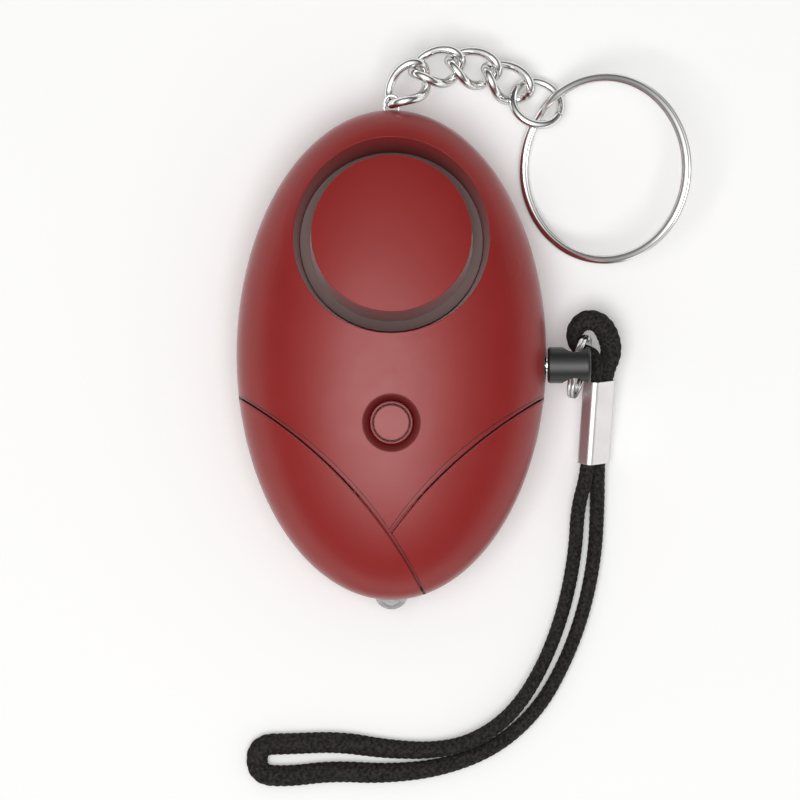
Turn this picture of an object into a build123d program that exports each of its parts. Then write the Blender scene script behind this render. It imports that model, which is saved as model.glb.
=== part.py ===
from build123d import *
from math import asin, atan, cos, degrees, radians, sin, sqrt, tan
import os

os.makedirs("parts", exist_ok=True)

# An egg-shaped personal alarm lies on its flat back, face up, with its siren toward +Y.
# The origin is the middle of the flat back. A pull pin with a wrist loop stands out at +X,
# and a curb chain with a split key ring hangs from the top end. Lengths are millimetres.

# Egg: an ellipse in plan, domed more in front of the parting plane than behind it
body_width = 44.3
body_length = 70.0
front_dome = 12.0
parting_height = 9.0
back_flat = 2.0
wall = 1.6

# Fits
snug = 0.05
seat_gap = 0.02
clearance = 0.3
overrun = 20.0

# Lip of the back shell that centres the front shell
lip_rise = 0.9
lip_wall = 0.7
lip_gap = 0.15

# Siren: a tapered well with a grey floor ring and a flush cap in its middle
siren_place = 17.5
siren_depth = 7.2
well_radius = 13.1
well_draft = 11.3
well_wall = 1.3
ring_thickness = 0.7
sound_hole_radius = 9.5
cap_radius = 11.6
cap_draft = 1.8
cap_wall = 1.4
leg_wall = 0.9
snap_leg_width = 5.0
snap_leg_count = 3
notch_width = 3.0
notch_height = 1.0
notch_count = 5
notch_pitch = 26.0

# Sounder under the siren: gasket, brass disc with its ceramic, and the cup behind them
gasket_thickness = 0.8
gasket_width = 1.7
disc_radius = 11.5
disc_thickness = 0.3
ceramic_radius = 8.5
ceramic_thickness = 0.25
cup_wall = 1.1
cup_ledge = 1.1
cup_depth = 4.0
cup_floor = 1.0
sounder_wire = 1.0
sounder_wire_spacing = 5.0

# Grooves that meet in a Y on the lower front
groove_width = 0.42
groove_depth = 0.4

# Button: a round cap in a thin collar, with a moat round it
button_place = -9.66
button_radius = 2.5
button_gap = 0.25
collar_wall = 0.25
moat_radius = 4.13
moat_depth = 1.0
button_travel = 0.6
button_crown = 0.06
button_round = 0.25
button_flange = 0.8
button_flange_thickness = 0.75
button_slack = 0.25

# Circuit board over the cells, and what is soldered to it
board_rise = 4.6
board_thickness = 0.8
board_top_edge = 0.8
board_gap = 0.4
switch_size = 6.0
switch_height = 2.2
switch_base = 0.4
plunger_radius = 1.6
plunger_gap = 0.15
chip_x = -7.0
chip_y = -16.0
chip_length = 5.0
chip_width = 4.0
chip_height = 1.4
leg_thickness = 0.2
leg_width = 0.4
leg_pitch = 1.27
leg_reach = 1.0
leg_count = 8
coil_y = -12.0
coil_share = 0.136
coil_height = 5.5
coil_flange = 0.8
winding_depth = 1.0
capacitor_y = -8.0
capacitor_radius = 2.5
capacitor_length = 5.4
capacitor_groove = 0.25
transistor_y = -15.5
transistor_width = 4.6
transistor_depth = 3.6
transistor_height = 4.5

# Button cells in a row along Y, and their contacts
cell_radius = 5.8
cell_length = 5.4
cell_count = 3
cell_cap_radius = 4.9
cell_cap_height = 0.4
cell_floor_gap = 0.05
cell_edge = 0.3
cell_row_end = -4.5
cradle_wall = 1.2
cradle_gap = 0.25
contact_thickness = 0.3
contact_width = 7.0
contact_tongue = 2.6
tongue_rise = 0.9
tail_width = 2.0

# Lamp: a clear five-millimetre lamp that looks out of the lower end
lamp_radius = 2.5
lamp_length = 8.6
lamp_drop = 2.1
lamp_reach = 1.4
lamp_flange = 0.4
lamp_flange_thickness = 1.0
lead_size = 0.5
lead_spacing = 2.54
lead_run = 2.6
saddle_wall = 1.2

# Case screws, driven from the back
screw_shank = 1.0
screw_length = 8.0
screw_head_radius = 1.9
screw_head_height = 1.4
screw_seat = 4.2
screw_bore_gap = 0.3
screw_cross = 0.5
screw_cross_depth = 0.7
boss_wall = 1.4
upper_screw_x = 15.8
upper_screw_y = 12.5
lower_screw_y = -21.5
board_post_radius = 1.2
board_post_x = 11.5
board_post_y = -3.5

# Pull pin at the right side, its sleeve, its contacts and its head
pin_place = -1.45
pin_radius = 1.0
pin_reach = 12.7
sleeve_radius = 2.0
sleeve_length = 7.6
sleeve_flange = 1.0
sleeve_flange_thickness = 1.0
blade_thickness = 0.2
blade_width = 2.4
blade_length = 3.8
blade_step = 1.3
head_radius = 2.6
head_length = 6.2
head_gap = 0.15
head_round = 0.45
pin_grip = 1.8
ring_hole_radius = 1.8
ring_hole_place = 3.9

# Eyelet: a wire staple caught between the shells at the top end
eyelet_wire = 0.45
eyelet_half_width = 1.0
eyelet_reach = 2.3
eyelet_depth = 3.0
eyelet_foot = 1.2
eyelet_bend = 0.5

# Curb chain: each link is an oval of round wire twisted about its length
link_wire = 1.3
link_half_length = 3.69
link_half_width = 2.47
link_side_tangent = 1.2
link_twist = 67.0
link_slack = 0.59
first_link_x = 0.1
first_link_seat = 1.45
first_link_rise = 0.3
chain_end_height = 2.64
link_headings = [50.3, 13.4, -14.1, -30.3]
link_rolls = [-11.0, -11.0, -11.0, -14.0]

# Jump ring between the chain and the key ring
jump_wire = 1.2
jump_radius = 3.6
jump_tilt = 33.0
jump_lean = 29.0
jump_ahead = 2.03
jump_aside = 1.7
jump_height = 3.0
jump_cut = 0.1

# Key ring: a split ring of two flat coils, one edge on the table
key_ring_radius = 13.05
key_ring_radial = 1.2
key_ring_coil = 0.68
key_ring_round = 0.25
key_ring_tilt = 27.7
key_ring_ahead = 9.7
key_ring_aside = 9.47
split_gap = 0.04
key_ring_jog_place = 137.0
key_ring_jog = 28.0

# Small split ring through the head of the pin
pin_ring_radius = 4.3
pin_ring_radial = 0.7
pin_ring_coil = 0.48
pin_ring_round = 0.16
pin_ring_rise = 0.6
pin_ring_turn = -14.0
pin_ring_lean = 10.0
pin_ring_jog_place = -90.0
pin_ring_jog = 40.0

# Wrist loop: a soft round cord, and the metal sleeve that joins its strands
cord_diameter = 2.0
strand_gap = 0.06
ferrule_wall = 0.32
ferrule_round = 0.75
ferrule_roll = 50.0
cord_lead = 1.2
cord_end_depth = 3.4
cord_end_gap = 1.0
# Places of the sleeve's top and of the fold through the small ring, from the middle of the pin's cross hole
ferrule_top_place = (3.57, -2.15, -4.4)
fold_places = [
    (3.22, 0.55, -3.6),
    (2.32, 1.8, -3.9),
    (0.77, 2.1, -4.05),
    (-0.18, 3.4, -3.95),
    (-0.18, 5.4, -3.8),
    (1.27, 6.85, -3.7),
    (3.42, 6.85, -3.8),
    (4.92, 5.4, -4.1),
    (5.77, 2.05, -4.8),
]
# Places of the sleeve's foot and of the loop on the table: in plan from the same hole, and over the table
ferrule_foot_place = (2.77, -13.95, 2.6)
loop_places = [
    (3.37, -20.05, 1.05),
    (3.02, -27.35, 1.05),
    (1.52, -35.05, 1.05),
    (-1.18, -42.55, 1.05),
    (-5.28, -49.75, 1.05),
    (-11.58, -55.15, 1.05),
    (-19.18, -57.85, 1.05),
    (-27.18, -58.65, 1.05),
    (-34.68, -58.25, 1.05),
    (-41.18, -59.05, 1.05),
    (-45.48, -58.75, 1.05),
    (-45.48, -54.45, 1.05),
    (-40.68, -54.35, 1.05),
    (-33.68, -54.05, 1.05),
    (-26.68, -55.15, 1.05),
    (-19.68, -55.35, 1.3),
    (-13.78, -53.75, 2.15),
    (-8.38, -49.65, 2.35),
    (-4.18, -42.75, 1.8),
    (-1.28, -34.75, 1.1),
    (0.22, -26.75, 1.2),
    (0.52, -20.35, 2.0),
]

half_width = body_width / 2
half_length = body_length / 2
back_dome = parting_height + back_flat
board_height = parting_height + board_rise
full_turn = 360
run_share = 0.45
jog_share = 0.27


def dome_height(depth, x, y, inset=0):
    """Height of the dome over the parting plane, or its depth behind it, at a place in plan."""
    across = x / (half_width - inset)
    along = y / (half_length - inset)
    return (depth - inset) * sqrt(1 - across**2 - along**2)


def tangent_plane(y):
    """The plane that touches the front dome on its middle line."""
    height = dome_height(front_dome, 0, y)
    slope = atan(y * front_dome**2 / (half_length**2 * height))
    normal = (0, sin(slope), cos(slope))
    return Plane(origin=(0, y, parting_height + height), x_dir=(1, 0, 0), z_dir=normal)


def half_egg(depth, inset=0, front=True):
    """One half of the egg, drawn in all round by inset, with its flat face at the parting plane."""
    width = half_width - inset
    length = half_length - inset
    turn = -1 if front else 1
    with BuildPart() as half:
        with BuildSketch(Plane.XY):
            with BuildLine():
                EllipticalCenterArc((0, 0), width, length, start_angle=-90, arc_size=180)
                Line((0, length), (0, -length))
            make_face()
        revolve(axis=Axis((0, 0, 0), (0, turn, 0)), revolution_arc=180)
        scale(by=(1, 1, (depth - inset) / width))
    return half.part.moved(Location((0, 0, parting_height)))


def corner_radii(points, mouths=()):
    """One radius for each corner of a route: as large as the runs beside it allow."""
    radii = []
    for number, (before, corner, after) in enumerate(zip(points, points[1:], points[2:]), 1):
        turn = (corner - before).get_angle(after - corner)
        reach = run_share * min((corner - before).length, (after - corner).length)
        if number in mouths:
            reach = min(reach, cord_lead - snug)
        radii.append(reach / tan(radians(turn / 2)))
    return radii


def tube(points, diameter, radii):
    """A round tube along straight runs that are joined by tangent arcs."""
    with BuildPart() as round_tube:
        with BuildLine():
            FilletPolyline(*points, radius=radii)
        with BuildSketch(Plane(origin=points[0], z_dir=points[1] - points[0])):
            Circle(diameter / 2)
        sweep()
    return round_tube.part


def biarc(start, leaving, end, arriving, reach):
    """Two arcs, tangent to each other, from start along one direction to end along another."""
    corner = start + leaving * reach
    span = end - corner
    other = (span.dot(span) - reach**2) / (2 * (span.dot(arriving) + reach))
    far_corner = end - arriving * other
    middle = (corner * other + far_corner * reach) / (reach + other)
    TangentArc(start, middle, tangent=leaving)
    TangentArc(middle, end, tangent=far_corner - corner)


def split_ring(radius, radial, coil, edge, jog_place, jog):
    """A ring of one flat wire that goes nearly twice round and steps down by a coil between."""
    level = (coil + split_gap) / 2
    turn_start = jog_place + jog / 2
    turn_end = jog_place - jog / 2
    upper = Plane.XY.offset(level).rotated((0, 0, turn_start))
    step_start = Plane.XY.offset(level).rotated((0, 0, turn_end))
    step_end = Plane.XY.offset(-level).rotated((0, 0, turn_start))
    step_from = step_start.from_local_coords((radius, 0, 0))
    step_to = step_end.from_local_coords((radius, 0, 0))
    step_reach = (step_to - step_from).length * jog_share
    section_plane = Plane(upper.from_local_coords((radius, 0, 0)), x_dir=upper.x_dir, z_dir=upper.y_dir)
    with BuildPart() as flat_wire:
        with BuildLine():
            CenterArc((0, 0, level), radius, turn_start, full_turn - jog)
            biarc(step_from, step_start.y_dir, step_to, step_end.y_dir, step_reach)
            CenterArc((0, 0, -level), radius, turn_start, full_turn - jog)
        with BuildSketch(section_plane):
            RectangleRounded(radial, coil, edge)
        sweep()
    return flat_wire.part


def save(piece, name):
    """Label a finished piece and write it to its own file."""
    piece.part.label = name
    export_step(piece.part, f"parts/{name}.step")


front_outer = half_egg(front_dome)
front_inner = half_egg(front_dome, wall)
back_outer = half_egg(back_dome, front=False)
back_inner = half_egg(back_dome, wall, front=False)
groove_floor = half_egg(front_dome, groove_depth)
leg_room = half_egg(front_dome, cap_wall / 2)
cap_inner = half_egg(front_dome, cap_wall)
lip_room = half_egg(front_dome, wall + clearance)

siren_plane = tangent_plane(siren_place)
button_plane = tangent_plane(button_place)
well_floor_top = siren_depth + ring_thickness
well_floor_foot = well_floor_top + well_wall
pin_y_plane = Plane(origin=(0, pin_place, parting_height), x_dir=(0, 1, 0), z_dir=(1, 0, 0))
side_reach = half_width * sqrt(1 - (pin_place / half_length) ** 2)
board_top = board_height + board_thickness
button_hole_radius = button_radius + button_gap
lamp_height = parting_height - lamp_drop
lamp_tip = -(half_length + lamp_reach)
lamp_plane = Plane(origin=(0, lamp_tip, lamp_height), x_dir=(1, 0, 0), z_dir=(0, 1, 0))
boss_radius = screw_shank + boss_wall
cradle_half_width = cell_radius + cradle_gap
beside_cradle = cradle_half_width + cradle_wall + clearance
coil_radius = coil_share * half_width
coil_x = beside_cradle + coil_radius
capacitor_x = -(beside_cradle + capacitor_radius)
transistor_x = -(beside_cradle + transistor_width / 2)
lower_screw_x = beside_cradle + boss_radius + clearance
screw_places = [
    (upper_screw_x, upper_screw_y),
    (-upper_screw_x, upper_screw_y),
    (lower_screw_x, lower_screw_y),
    (-lower_screw_x, lower_screw_y),
]
cell_height = wall + cell_floor_gap + cell_radius
cell_row_length = cell_count * cell_length
cell_row_start = cell_row_end - cell_row_length
eyelet_top = half_length + eyelet_reach
eyelet_inside = half_length - eyelet_depth

# The staple's two legs lie in a slot that is half in each shell
with BuildPart() as eyelet_slot:
    with BuildSketch(Plane.XY.offset(parting_height)):
        slot_foot = eyelet_inside - eyelet_wire
        slot_width = 2 * eyelet_half_width + eyelet_wire + 2 * snug
        with Locations((0, slot_foot)):
            Rectangle(slot_width, overrun, align=(Align.CENTER, Align.MIN))
    extrude(amount=eyelet_wire / 2 + snug, both=True)

# The shells share round openings for the pin's sleeve and for the lamp
with BuildPart() as side_openings:
    with BuildSketch(pin_y_plane.offset(side_reach - sleeve_length)):
        Circle(sleeve_radius + snug)
    extrude(amount=overrun)
    with BuildSketch(lamp_plane):
        Circle(lamp_radius + snug)
    extrude(amount=lamp_length - lamp_flange_thickness)
    with BuildSketch(lamp_plane.offset(lamp_length - lamp_flange_thickness - snug)):
        Circle(lamp_radius + lamp_flange + snug)
    extrude(amount=overrun / 2)

# Grooves: two bands that follow arcs in plan, cut to one depth below the dome
with BuildPart() as grooves:
    with BuildSketch(Plane.XY.offset(parting_height)):
        long_shares = [(-0.99, -0.172), (-0.40, -0.452), (0.214, -0.975)]
        short_shares = [(0.99, -0.175), (0.385, -0.452), (-0.004, -0.724)]
        for shares in (long_shares, short_shares):
            points = [(x * half_width, y * half_length) for x, y in shares]
            with BuildLine() as course:
                ThreePointArc(*points)
            trace(course.line, line_width=groove_width)
    extrude(amount=front_dome)
    add(groove_floor, mode=Mode.SUBTRACT)

# Well of the siren: a tapered wall and a floor that dips a little behind the parting plane
with BuildPart() as well_room:
    add(front_outer)
    with BuildSketch(Plane.XY.offset(parting_height)):
        Ellipse(half_width - wall - clearance, half_length - wall - clearance)
    extrude(amount=-well_wall)
with BuildPart() as well:
    with BuildSketch(siren_plane.offset(-well_floor_foot)):
        Circle(well_radius + well_wall)
    extrude(amount=overrun, taper=-well_draft)
    add(well_room.part, mode=Mode.INTERSECT)

with BuildPart() as front_shell:
    add(front_outer)
    add(front_inner, mode=Mode.SUBTRACT)
    with BuildSketch(Plane.XY.offset(parting_height + seat_gap)):
        with Locations(*screw_places):
            Circle(boss_radius)
    extrude(amount=dome_height(front_dome, lower_screw_x, lower_screw_y, wall / 2))
    with BuildSketch(Plane.XY.offset(board_top + seat_gap)):
        with Locations((board_post_x, board_post_y), (-board_post_x, board_post_y)):
            Circle(board_post_radius)
    extrude(amount=dome_height(front_dome, board_post_x, board_post_y, wall / 2) + parting_height - board_top)
    add(front_outer, mode=Mode.INTERSECT)
    add(well.part)
    with BuildSketch(siren_plane.offset(-well_floor_top)):
        Circle(well_radius)
    extrude(amount=overrun, taper=-well_draft, mode=Mode.SUBTRACT)
    with BuildSketch(siren_plane.offset(-well_floor_foot)):
        Circle(sound_hole_radius)
    extrude(amount=2 * well_wall, mode=Mode.SUBTRACT)
    with BuildSketch(button_plane.offset(-moat_depth)):
        Circle(moat_radius)
        Circle(button_hole_radius + collar_wall, mode=Mode.SUBTRACT)
    extrude(amount=overrun, mode=Mode.SUBTRACT)
    with BuildSketch(button_plane.offset(-2 * wall)):
        Circle(button_hole_radius)
    extrude(amount=overrun, mode=Mode.SUBTRACT)
    add(grooves.part, mode=Mode.SUBTRACT)
    add(side_openings.part, mode=Mode.SUBTRACT)
    add(eyelet_slot.part, mode=Mode.SUBTRACT)
    with BuildSketch(Plane.XY.offset(parting_height)):
        with Locations(*screw_places):
            Circle(screw_shank + snug)
    extrude(amount=screw_length + screw_seat - parting_height + clearance, mode=Mode.SUBTRACT)
save(front_shell, "front_shell")

# Inside of the back shell, level at the floor
with BuildPart() as back_hollow:
    add(back_inner)
    with BuildSketch(Plane.XY.offset(wall)):
        Rectangle(2 * body_width, 2 * body_length)
    extrude(amount=-overrun, mode=Mode.SUBTRACT)
shell_room = back_outer + lip_room

# Cradle for the cells, saddles for the lamp and the pin's sleeve, and bosses for the screws
plus_wall = cell_row_end + contact_thickness + 2 * seat_gap
minus_plate = cell_row_start - tongue_rise - contact_thickness
minus_wall = minus_plate - seat_gap
cradle_middle = (plus_wall + minus_wall) / 2
cradle_length = plus_wall - minus_wall
saddle_front = lamp_tip + lamp_length - lamp_flange_thickness - clearance
sleeve_start = side_reach - sleeve_length
with BuildPart() as back_ribs:
    with BuildSketch(Plane.XY.offset(wall / 2)):
        with Locations((0, cradle_middle)):
            Rectangle(2 * (cradle_half_width + cradle_wall), cradle_length + 2 * cradle_wall)
            Rectangle(2 * cradle_half_width, cradle_length, mode=Mode.SUBTRACT)
    extrude(amount=board_height - seat_gap - wall / 2)
    with BuildSketch(Plane.XY.offset(wall / 2)):
        with Locations((0, saddle_front)):
            Rectangle(4 * lamp_radius, saddle_wall, align=(Align.CENTER, Align.MAX))
    extrude(amount=lamp_height - wall / 2)
    with BuildSketch(Plane.XY.offset(wall / 2)):
        with Locations((sleeve_start + snug, pin_place)):
            Rectangle(saddle_wall, 4 * sleeve_radius, align=(Align.MIN, Align.CENTER))
    extrude(amount=parting_height - wall / 2)
    with BuildSketch(Plane.XY):
        with Locations(*screw_places):
            Circle(screw_head_radius + screw_bore_gap + boss_wall / 2)
    extrude(amount=screw_seat + boss_wall)
    with BuildSketch(Plane.XY):
        with Locations(*screw_places):
            Circle(boss_radius)
    extrude(amount=parting_height)
    add(shell_room, mode=Mode.INTERSECT)

# Lip: a thin elliptical band that stands over the parting plane
with BuildPart() as lip:
    lip_inset = wall + lip_gap
    with BuildSketch(Plane.XY.offset(parting_height - 2 * lip_rise)):
        Ellipse(half_width - lip_inset, half_length - lip_inset)
        Ellipse(half_width - lip_inset - lip_wall, half_length - lip_inset - lip_wall, mode=Mode.SUBTRACT)
    extrude(amount=3 * lip_rise)
    with BuildSketch(Plane.XY.offset(parting_height)):
        with Locations(*screw_places):
            Circle(boss_radius + clearance)
    extrude(amount=2 * lip_rise, mode=Mode.SUBTRACT)

with BuildPart() as back_shell:
    add(back_outer)
    with BuildSketch(Plane.XY):
        Rectangle(2 * body_width, 2 * body_length)
    extrude(amount=-overrun, mode=Mode.SUBTRACT)
    add(back_hollow.part, mode=Mode.SUBTRACT)
    add(back_ribs.part)
    add(lip.part)
    add(side_openings.part, mode=Mode.SUBTRACT)
    add(eyelet_slot.part, mode=Mode.SUBTRACT)
    with BuildSketch(Plane.XY):
        with Locations(*screw_places):
            Circle(screw_head_radius + screw_bore_gap)
    extrude(amount=screw_seat, mode=Mode.SUBTRACT)
    with BuildSketch(Plane.XY):
        with Locations(*screw_places):
            Circle(screw_shank + snug)
    extrude(amount=parting_height + lip_rise, mode=Mode.SUBTRACT)
save(back_shell, "back_shell")

# Siren cap: a drafted cup under the dome's own surface, open below, held by snap legs
cap_foot = siren_depth - seat_gap
leg_radius = sound_hole_radius - snug
with BuildPart() as cap_legs:
    with BuildSketch(siren_plane.offset(-well_floor_foot)):
        Circle(leg_radius)
        Circle(leg_radius - leg_wall, mode=Mode.SUBTRACT)
        with PolarLocations(0, snap_leg_count, start_angle=-90):
            Rectangle(overrun, snap_leg_width, align=(Align.MIN, Align.CENTER), mode=Mode.INTERSECT)
    extrude(amount=overrun)
    add(leg_room, mode=Mode.INTERSECT)
with BuildPart() as cap_hollow:
    with BuildSketch(siren_plane.offset(-cap_foot)):
        Circle(cap_radius - cap_wall)
    extrude(amount=overrun, taper=cap_draft)
    add(cap_inner, mode=Mode.INTERSECT)
with BuildPart() as siren_cap:
    with BuildSketch(siren_plane.offset(-cap_foot)):
        Circle(cap_radius)
    extrude(amount=overrun, taper=cap_draft)
    add(front_outer, mode=Mode.INTERSECT)
    add(cap_hollow.part, mode=Mode.SUBTRACT)
    notch_span = notch_pitch * (notch_count - 1)
    with BuildSketch(siren_plane.offset(-cap_foot)):
        with PolarLocations(cap_radius, notch_count, 90 - notch_span / 2, notch_span, endpoint=True):
            Rectangle(4 * cap_wall, notch_width)
    extrude(amount=notch_height, mode=Mode.SUBTRACT)
    add(cap_legs.part)
save(siren_cap, "siren_cap")

# Floor ring of the siren
with BuildPart() as siren_ring:
    with BuildSketch(siren_plane.offset(-well_floor_top)):
        Circle(well_radius - snug)
        Circle(sound_hole_radius + 2 * snug, mode=Mode.SUBTRACT)
    extrude(amount=ring_thickness)
save(siren_ring, "siren_ring")

# Sounder: gasket, disc and ceramic, clamped under the well's floor by a cup
disc_top = well_floor_foot + gasket_thickness
disc_foot = disc_top + disc_thickness
ceramic_foot = disc_foot + ceramic_thickness
cup_foot = well_floor_foot + cup_depth
wire_depth = ceramic_foot + sounder_wire / 2 + seat_gap
gasket_outer = disc_radius - 2 * snug
with BuildPart() as gasket_ring:
    with BuildSketch(siren_plane.offset(-disc_top)):
        Circle(gasket_outer)
        Circle(gasket_outer - gasket_width, mode=Mode.SUBTRACT)
    extrude(amount=gasket_thickness - seat_gap)
save(gasket_ring, "gasket_ring")

with BuildPart() as piezo_disc:
    with BuildSketch(siren_plane.offset(-disc_foot)):
        Circle(disc_radius)
    extrude(amount=disc_thickness)
save(piezo_disc, "piezo_disc")

with BuildPart() as piezo_ceramic:
    with BuildSketch(siren_plane.offset(-ceramic_foot)):
        Circle(ceramic_radius)
    extrude(amount=ceramic_thickness)
save(piezo_ceramic, "piezo_ceramic")

cup_radius = disc_radius + cup_wall
wire_way = Plane(siren_plane.offset(-wire_depth).origin, x_dir=(1, 0, 0), z_dir=-siren_plane.y_dir)
wire_places = [(-sounder_wire_spacing / 2, 0), (sounder_wire_spacing / 2, 0)]
with BuildPart() as resonator_cup:
    with BuildSketch(siren_plane.offset(-cup_foot)):
        Circle(cup_radius)
    extrude(amount=cup_depth - seat_gap)
    with BuildSketch(siren_plane.offset(-disc_foot)):
        Circle(disc_radius + snug)
    extrude(amount=overrun, mode=Mode.SUBTRACT)
    with BuildSketch(siren_plane.offset(cup_floor - cup_foot)):
        Circle(disc_radius - cup_ledge)
    extrude(amount=overrun, mode=Mode.SUBTRACT)
    with BuildSketch(wire_way):
        with Locations(*wire_places):
            Circle(sounder_wire / 2 + 2 * snug)
    extrude(amount=overrun, mode=Mode.SUBTRACT)
save(resonator_cup, "resonator_cup")

# Wires of the sounder, from the ceramic out of the cup and up to the board
wire_end_y = board_top_edge - 2 * sounder_wire
wires = []
for x, y in wire_places:
    wire_route = [
        wire_way.offset(ceramic_radius - sounder_wire).from_local_coords((x, y, 0)),
        wire_way.offset(cup_radius + sounder_wire).from_local_coords((x, y, 0)),
        Vector(x, wire_end_y, board_height - seat_gap),
    ]
    wires.append(tube(wire_route, sounder_wire, corner_radii(wire_route)))
with BuildPart() as piezo_wires:
    add(wires)
    with BuildSketch(Plane.XY.offset(board_height - seat_gap)):
        Rectangle(body_width, body_length)
    extrude(amount=overrun, mode=Mode.SUBTRACT)
save(piezo_wires, "piezo_wires")

# Button and the switch under it
flange_top = wall + button_slack
flange_foot = flange_top + button_flange_thickness
button_axis = Axis(button_plane.origin, button_plane.z_dir)
button_middle = Plane(button_plane.origin, x_dir=(1, 0, 0), z_dir=-button_plane.y_dir)
with BuildPart() as button_cap:
    with BuildSketch(button_middle) as button_profile:
        with BuildLine():
            crown = ThreePointArc(
                (-button_radius, -button_crown),
                (0, 0),
                (button_radius, -button_crown),
            )
            Polyline(
                (button_radius, -button_crown),
                (button_radius, -flange_top),
                (button_radius + button_flange, -flange_top),
                (button_radius + button_flange, -flange_foot),
                (-button_radius, -flange_foot),
                (-button_radius, -button_crown),
            )
        make_face()
        fillet(button_profile.vertices().group_by(Axis((0, 0, 0), button_plane.z_dir))[-1], button_round)
        with Locations((0, -flange_foot)):
            Rectangle(overrun, overrun, align=Align.MIN, mode=Mode.INTERSECT)
    revolve(axis=button_axis)
save(button_cap, "button_cap")

press_point = button_plane.offset(-flange_foot).origin
button_slope = button_plane.z_dir.Y
switch_hole = plunger_radius + plunger_gap
plunger_foot = board_top + switch_base + button_travel + plunger_gap
plunger_top = press_point.Z + plunger_radius * button_slope - 2 * snug
with BuildPart() as switch_plunger:
    with BuildSketch(Plane.XY.offset(plunger_foot)):
        with Locations((0, press_point.Y)):
            Circle(plunger_radius)
    extrude(amount=plunger_top - plunger_foot)
save(switch_plunger, "switch_plunger")

with BuildPart() as tact_switch:
    with BuildSketch(Plane.XY.offset(board_top)):
        with Locations((0, press_point.Y)):
            RectangleRounded(switch_size, switch_size, switch_base)
    extrude(amount=switch_height)
    with BuildSketch(Plane.XY.offset(board_top + switch_base)):
        with Locations((0, press_point.Y)):
            Circle(switch_hole)
    extrude(amount=overrun, mode=Mode.SUBTRACT)
save(tact_switch, "tact_switch")

# Circuit board: it follows the inside of the front shell and clears the lower screw bosses
board_shrink = sqrt(1 - ((board_top - parting_height) / (front_dome - wall)) ** 2)
board_half_width = (half_width - wall) * board_shrink - board_gap
board_half_length = (half_length - wall) * board_shrink - board_gap
with BuildPart() as circuit_board:
    with BuildSketch(Plane.XY.offset(board_height)):
        Ellipse(board_half_width, board_half_length)
        with Locations((0, board_top_edge)):
            Rectangle(body_width, body_length, align=(Align.CENTER, Align.MAX), mode=Mode.INTERSECT)
        with Locations(*screw_places):
            Circle(boss_radius + clearance, mode=Mode.SUBTRACT)
    extrude(amount=board_thickness)
save(circuit_board, "circuit_board")

with BuildPart() as driver_chip:
    with BuildSketch(Plane.XY.offset(board_top + leg_thickness)):
        with Locations((chip_x, chip_y)):
            Rectangle(chip_width, chip_length)
    extrude(amount=chip_height)
    with BuildSketch(Plane.XY.offset(board_top)):
        with Locations((chip_x, chip_y)):
            with GridLocations(0, leg_pitch, 1, leg_count // 2):
                Rectangle(chip_width + 2 * leg_reach, leg_width)
    extrude(amount=2 * leg_thickness)
save(driver_chip, "driver_chip")

# Parts that hang below the board, beside the cells
board_foot = board_height - seat_gap
with BuildPart() as boost_coil:
    with BuildSketch(Plane.XY.offset(board_foot)):
        with Locations((coil_x, coil_y)):
            Circle(coil_radius)
    extrude(amount=-coil_height)
    with BuildSketch(Plane.XY.offset(board_foot - coil_flange)):
        with Locations((coil_x, coil_y)):
            Circle(coil_radius)
            Circle(coil_radius - winding_depth, mode=Mode.SUBTRACT)
    extrude(amount=2 * coil_flange - coil_height, mode=Mode.SUBTRACT)
save(boost_coil, "boost_coil")

with BuildPart() as capacitor:
    with BuildSketch(Plane.XY.offset(board_foot)):
        with Locations((capacitor_x, capacitor_y)):
            Circle(capacitor_radius)
    extrude(amount=-capacitor_length)
    with BuildSketch(Plane.XY.offset(board_foot - 2 * capacitor_groove)):
        with Locations((capacitor_x, capacitor_y)):
            Circle(capacitor_radius)
            Circle(capacitor_radius - capacitor_groove, mode=Mode.SUBTRACT)
    extrude(amount=-2 * capacitor_groove, mode=Mode.SUBTRACT)
save(capacitor, "capacitor")

with BuildPart() as transistor:
    with BuildSketch(Plane.XY.offset(board_foot)):
        with Locations((transistor_x, transistor_y)):
            Circle(transistor_width / 2)
            Rectangle(transistor_width, transistor_depth, mode=Mode.INTERSECT)
    extrude(amount=-transistor_height)
save(transistor, "transistor")

# Cells: each has its wide can toward the siren and its smaller cap toward the lamp
cell_plane = Plane(origin=(0, cell_row_end, cell_height), x_dir=(1, 0, 0), z_dir=(0, -1, 0))
for number in range(cell_count):
    with BuildPart() as cell:
        with BuildSketch(cell_plane.offset(number * cell_length)):
            Circle(cell_radius)
        extrude(amount=cell_length - cell_cap_height)
        chamfer(cell.edges(), cell_edge)
        with BuildSketch(cell_plane.offset((number + 1) * cell_length)):
            Circle(cell_cap_radius)
        extrude(amount=-2 * cell_cap_height)
    save(cell, f"battery_cell_{number + 1}")

# Contacts: a plate with a tail to the board, and on the far one a tongue that springs
contact_height = contact_width
contact_places = [("plus", cell_row_end + seat_gap), ("minus", minus_plate)]
for pole, place in contact_places:
    with BuildPart() as contact:
        with BuildSketch(Plane.XZ.offset(-place)):
            with Locations((0, cell_height)):
                Rectangle(contact_width, contact_height)
            with Locations((0, cell_height)):
                Rectangle(tail_width, board_foot - cell_height, align=(Align.CENTER, Align.MIN))
        extrude(amount=-contact_thickness)
        if pole == "minus":
            plate_face = place + contact_thickness
            tongue_foot = cell_height - contact_height / 2 + contact_thickness
            with BuildSketch(Plane.YZ):
                with BuildLine():
                    Polyline(
                        (plate_face, tongue_foot),
                        (cell_row_start - seat_gap, cell_height),
                        (cell_row_start - seat_gap, cell_height + contact_thickness),
                        (plate_face, tongue_foot + 2 * contact_thickness),
                        close=True,
                    )
                make_face()
            extrude(amount=contact_tongue / 2, both=True)
    save(contact, f"battery_contact_{pole}")

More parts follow.
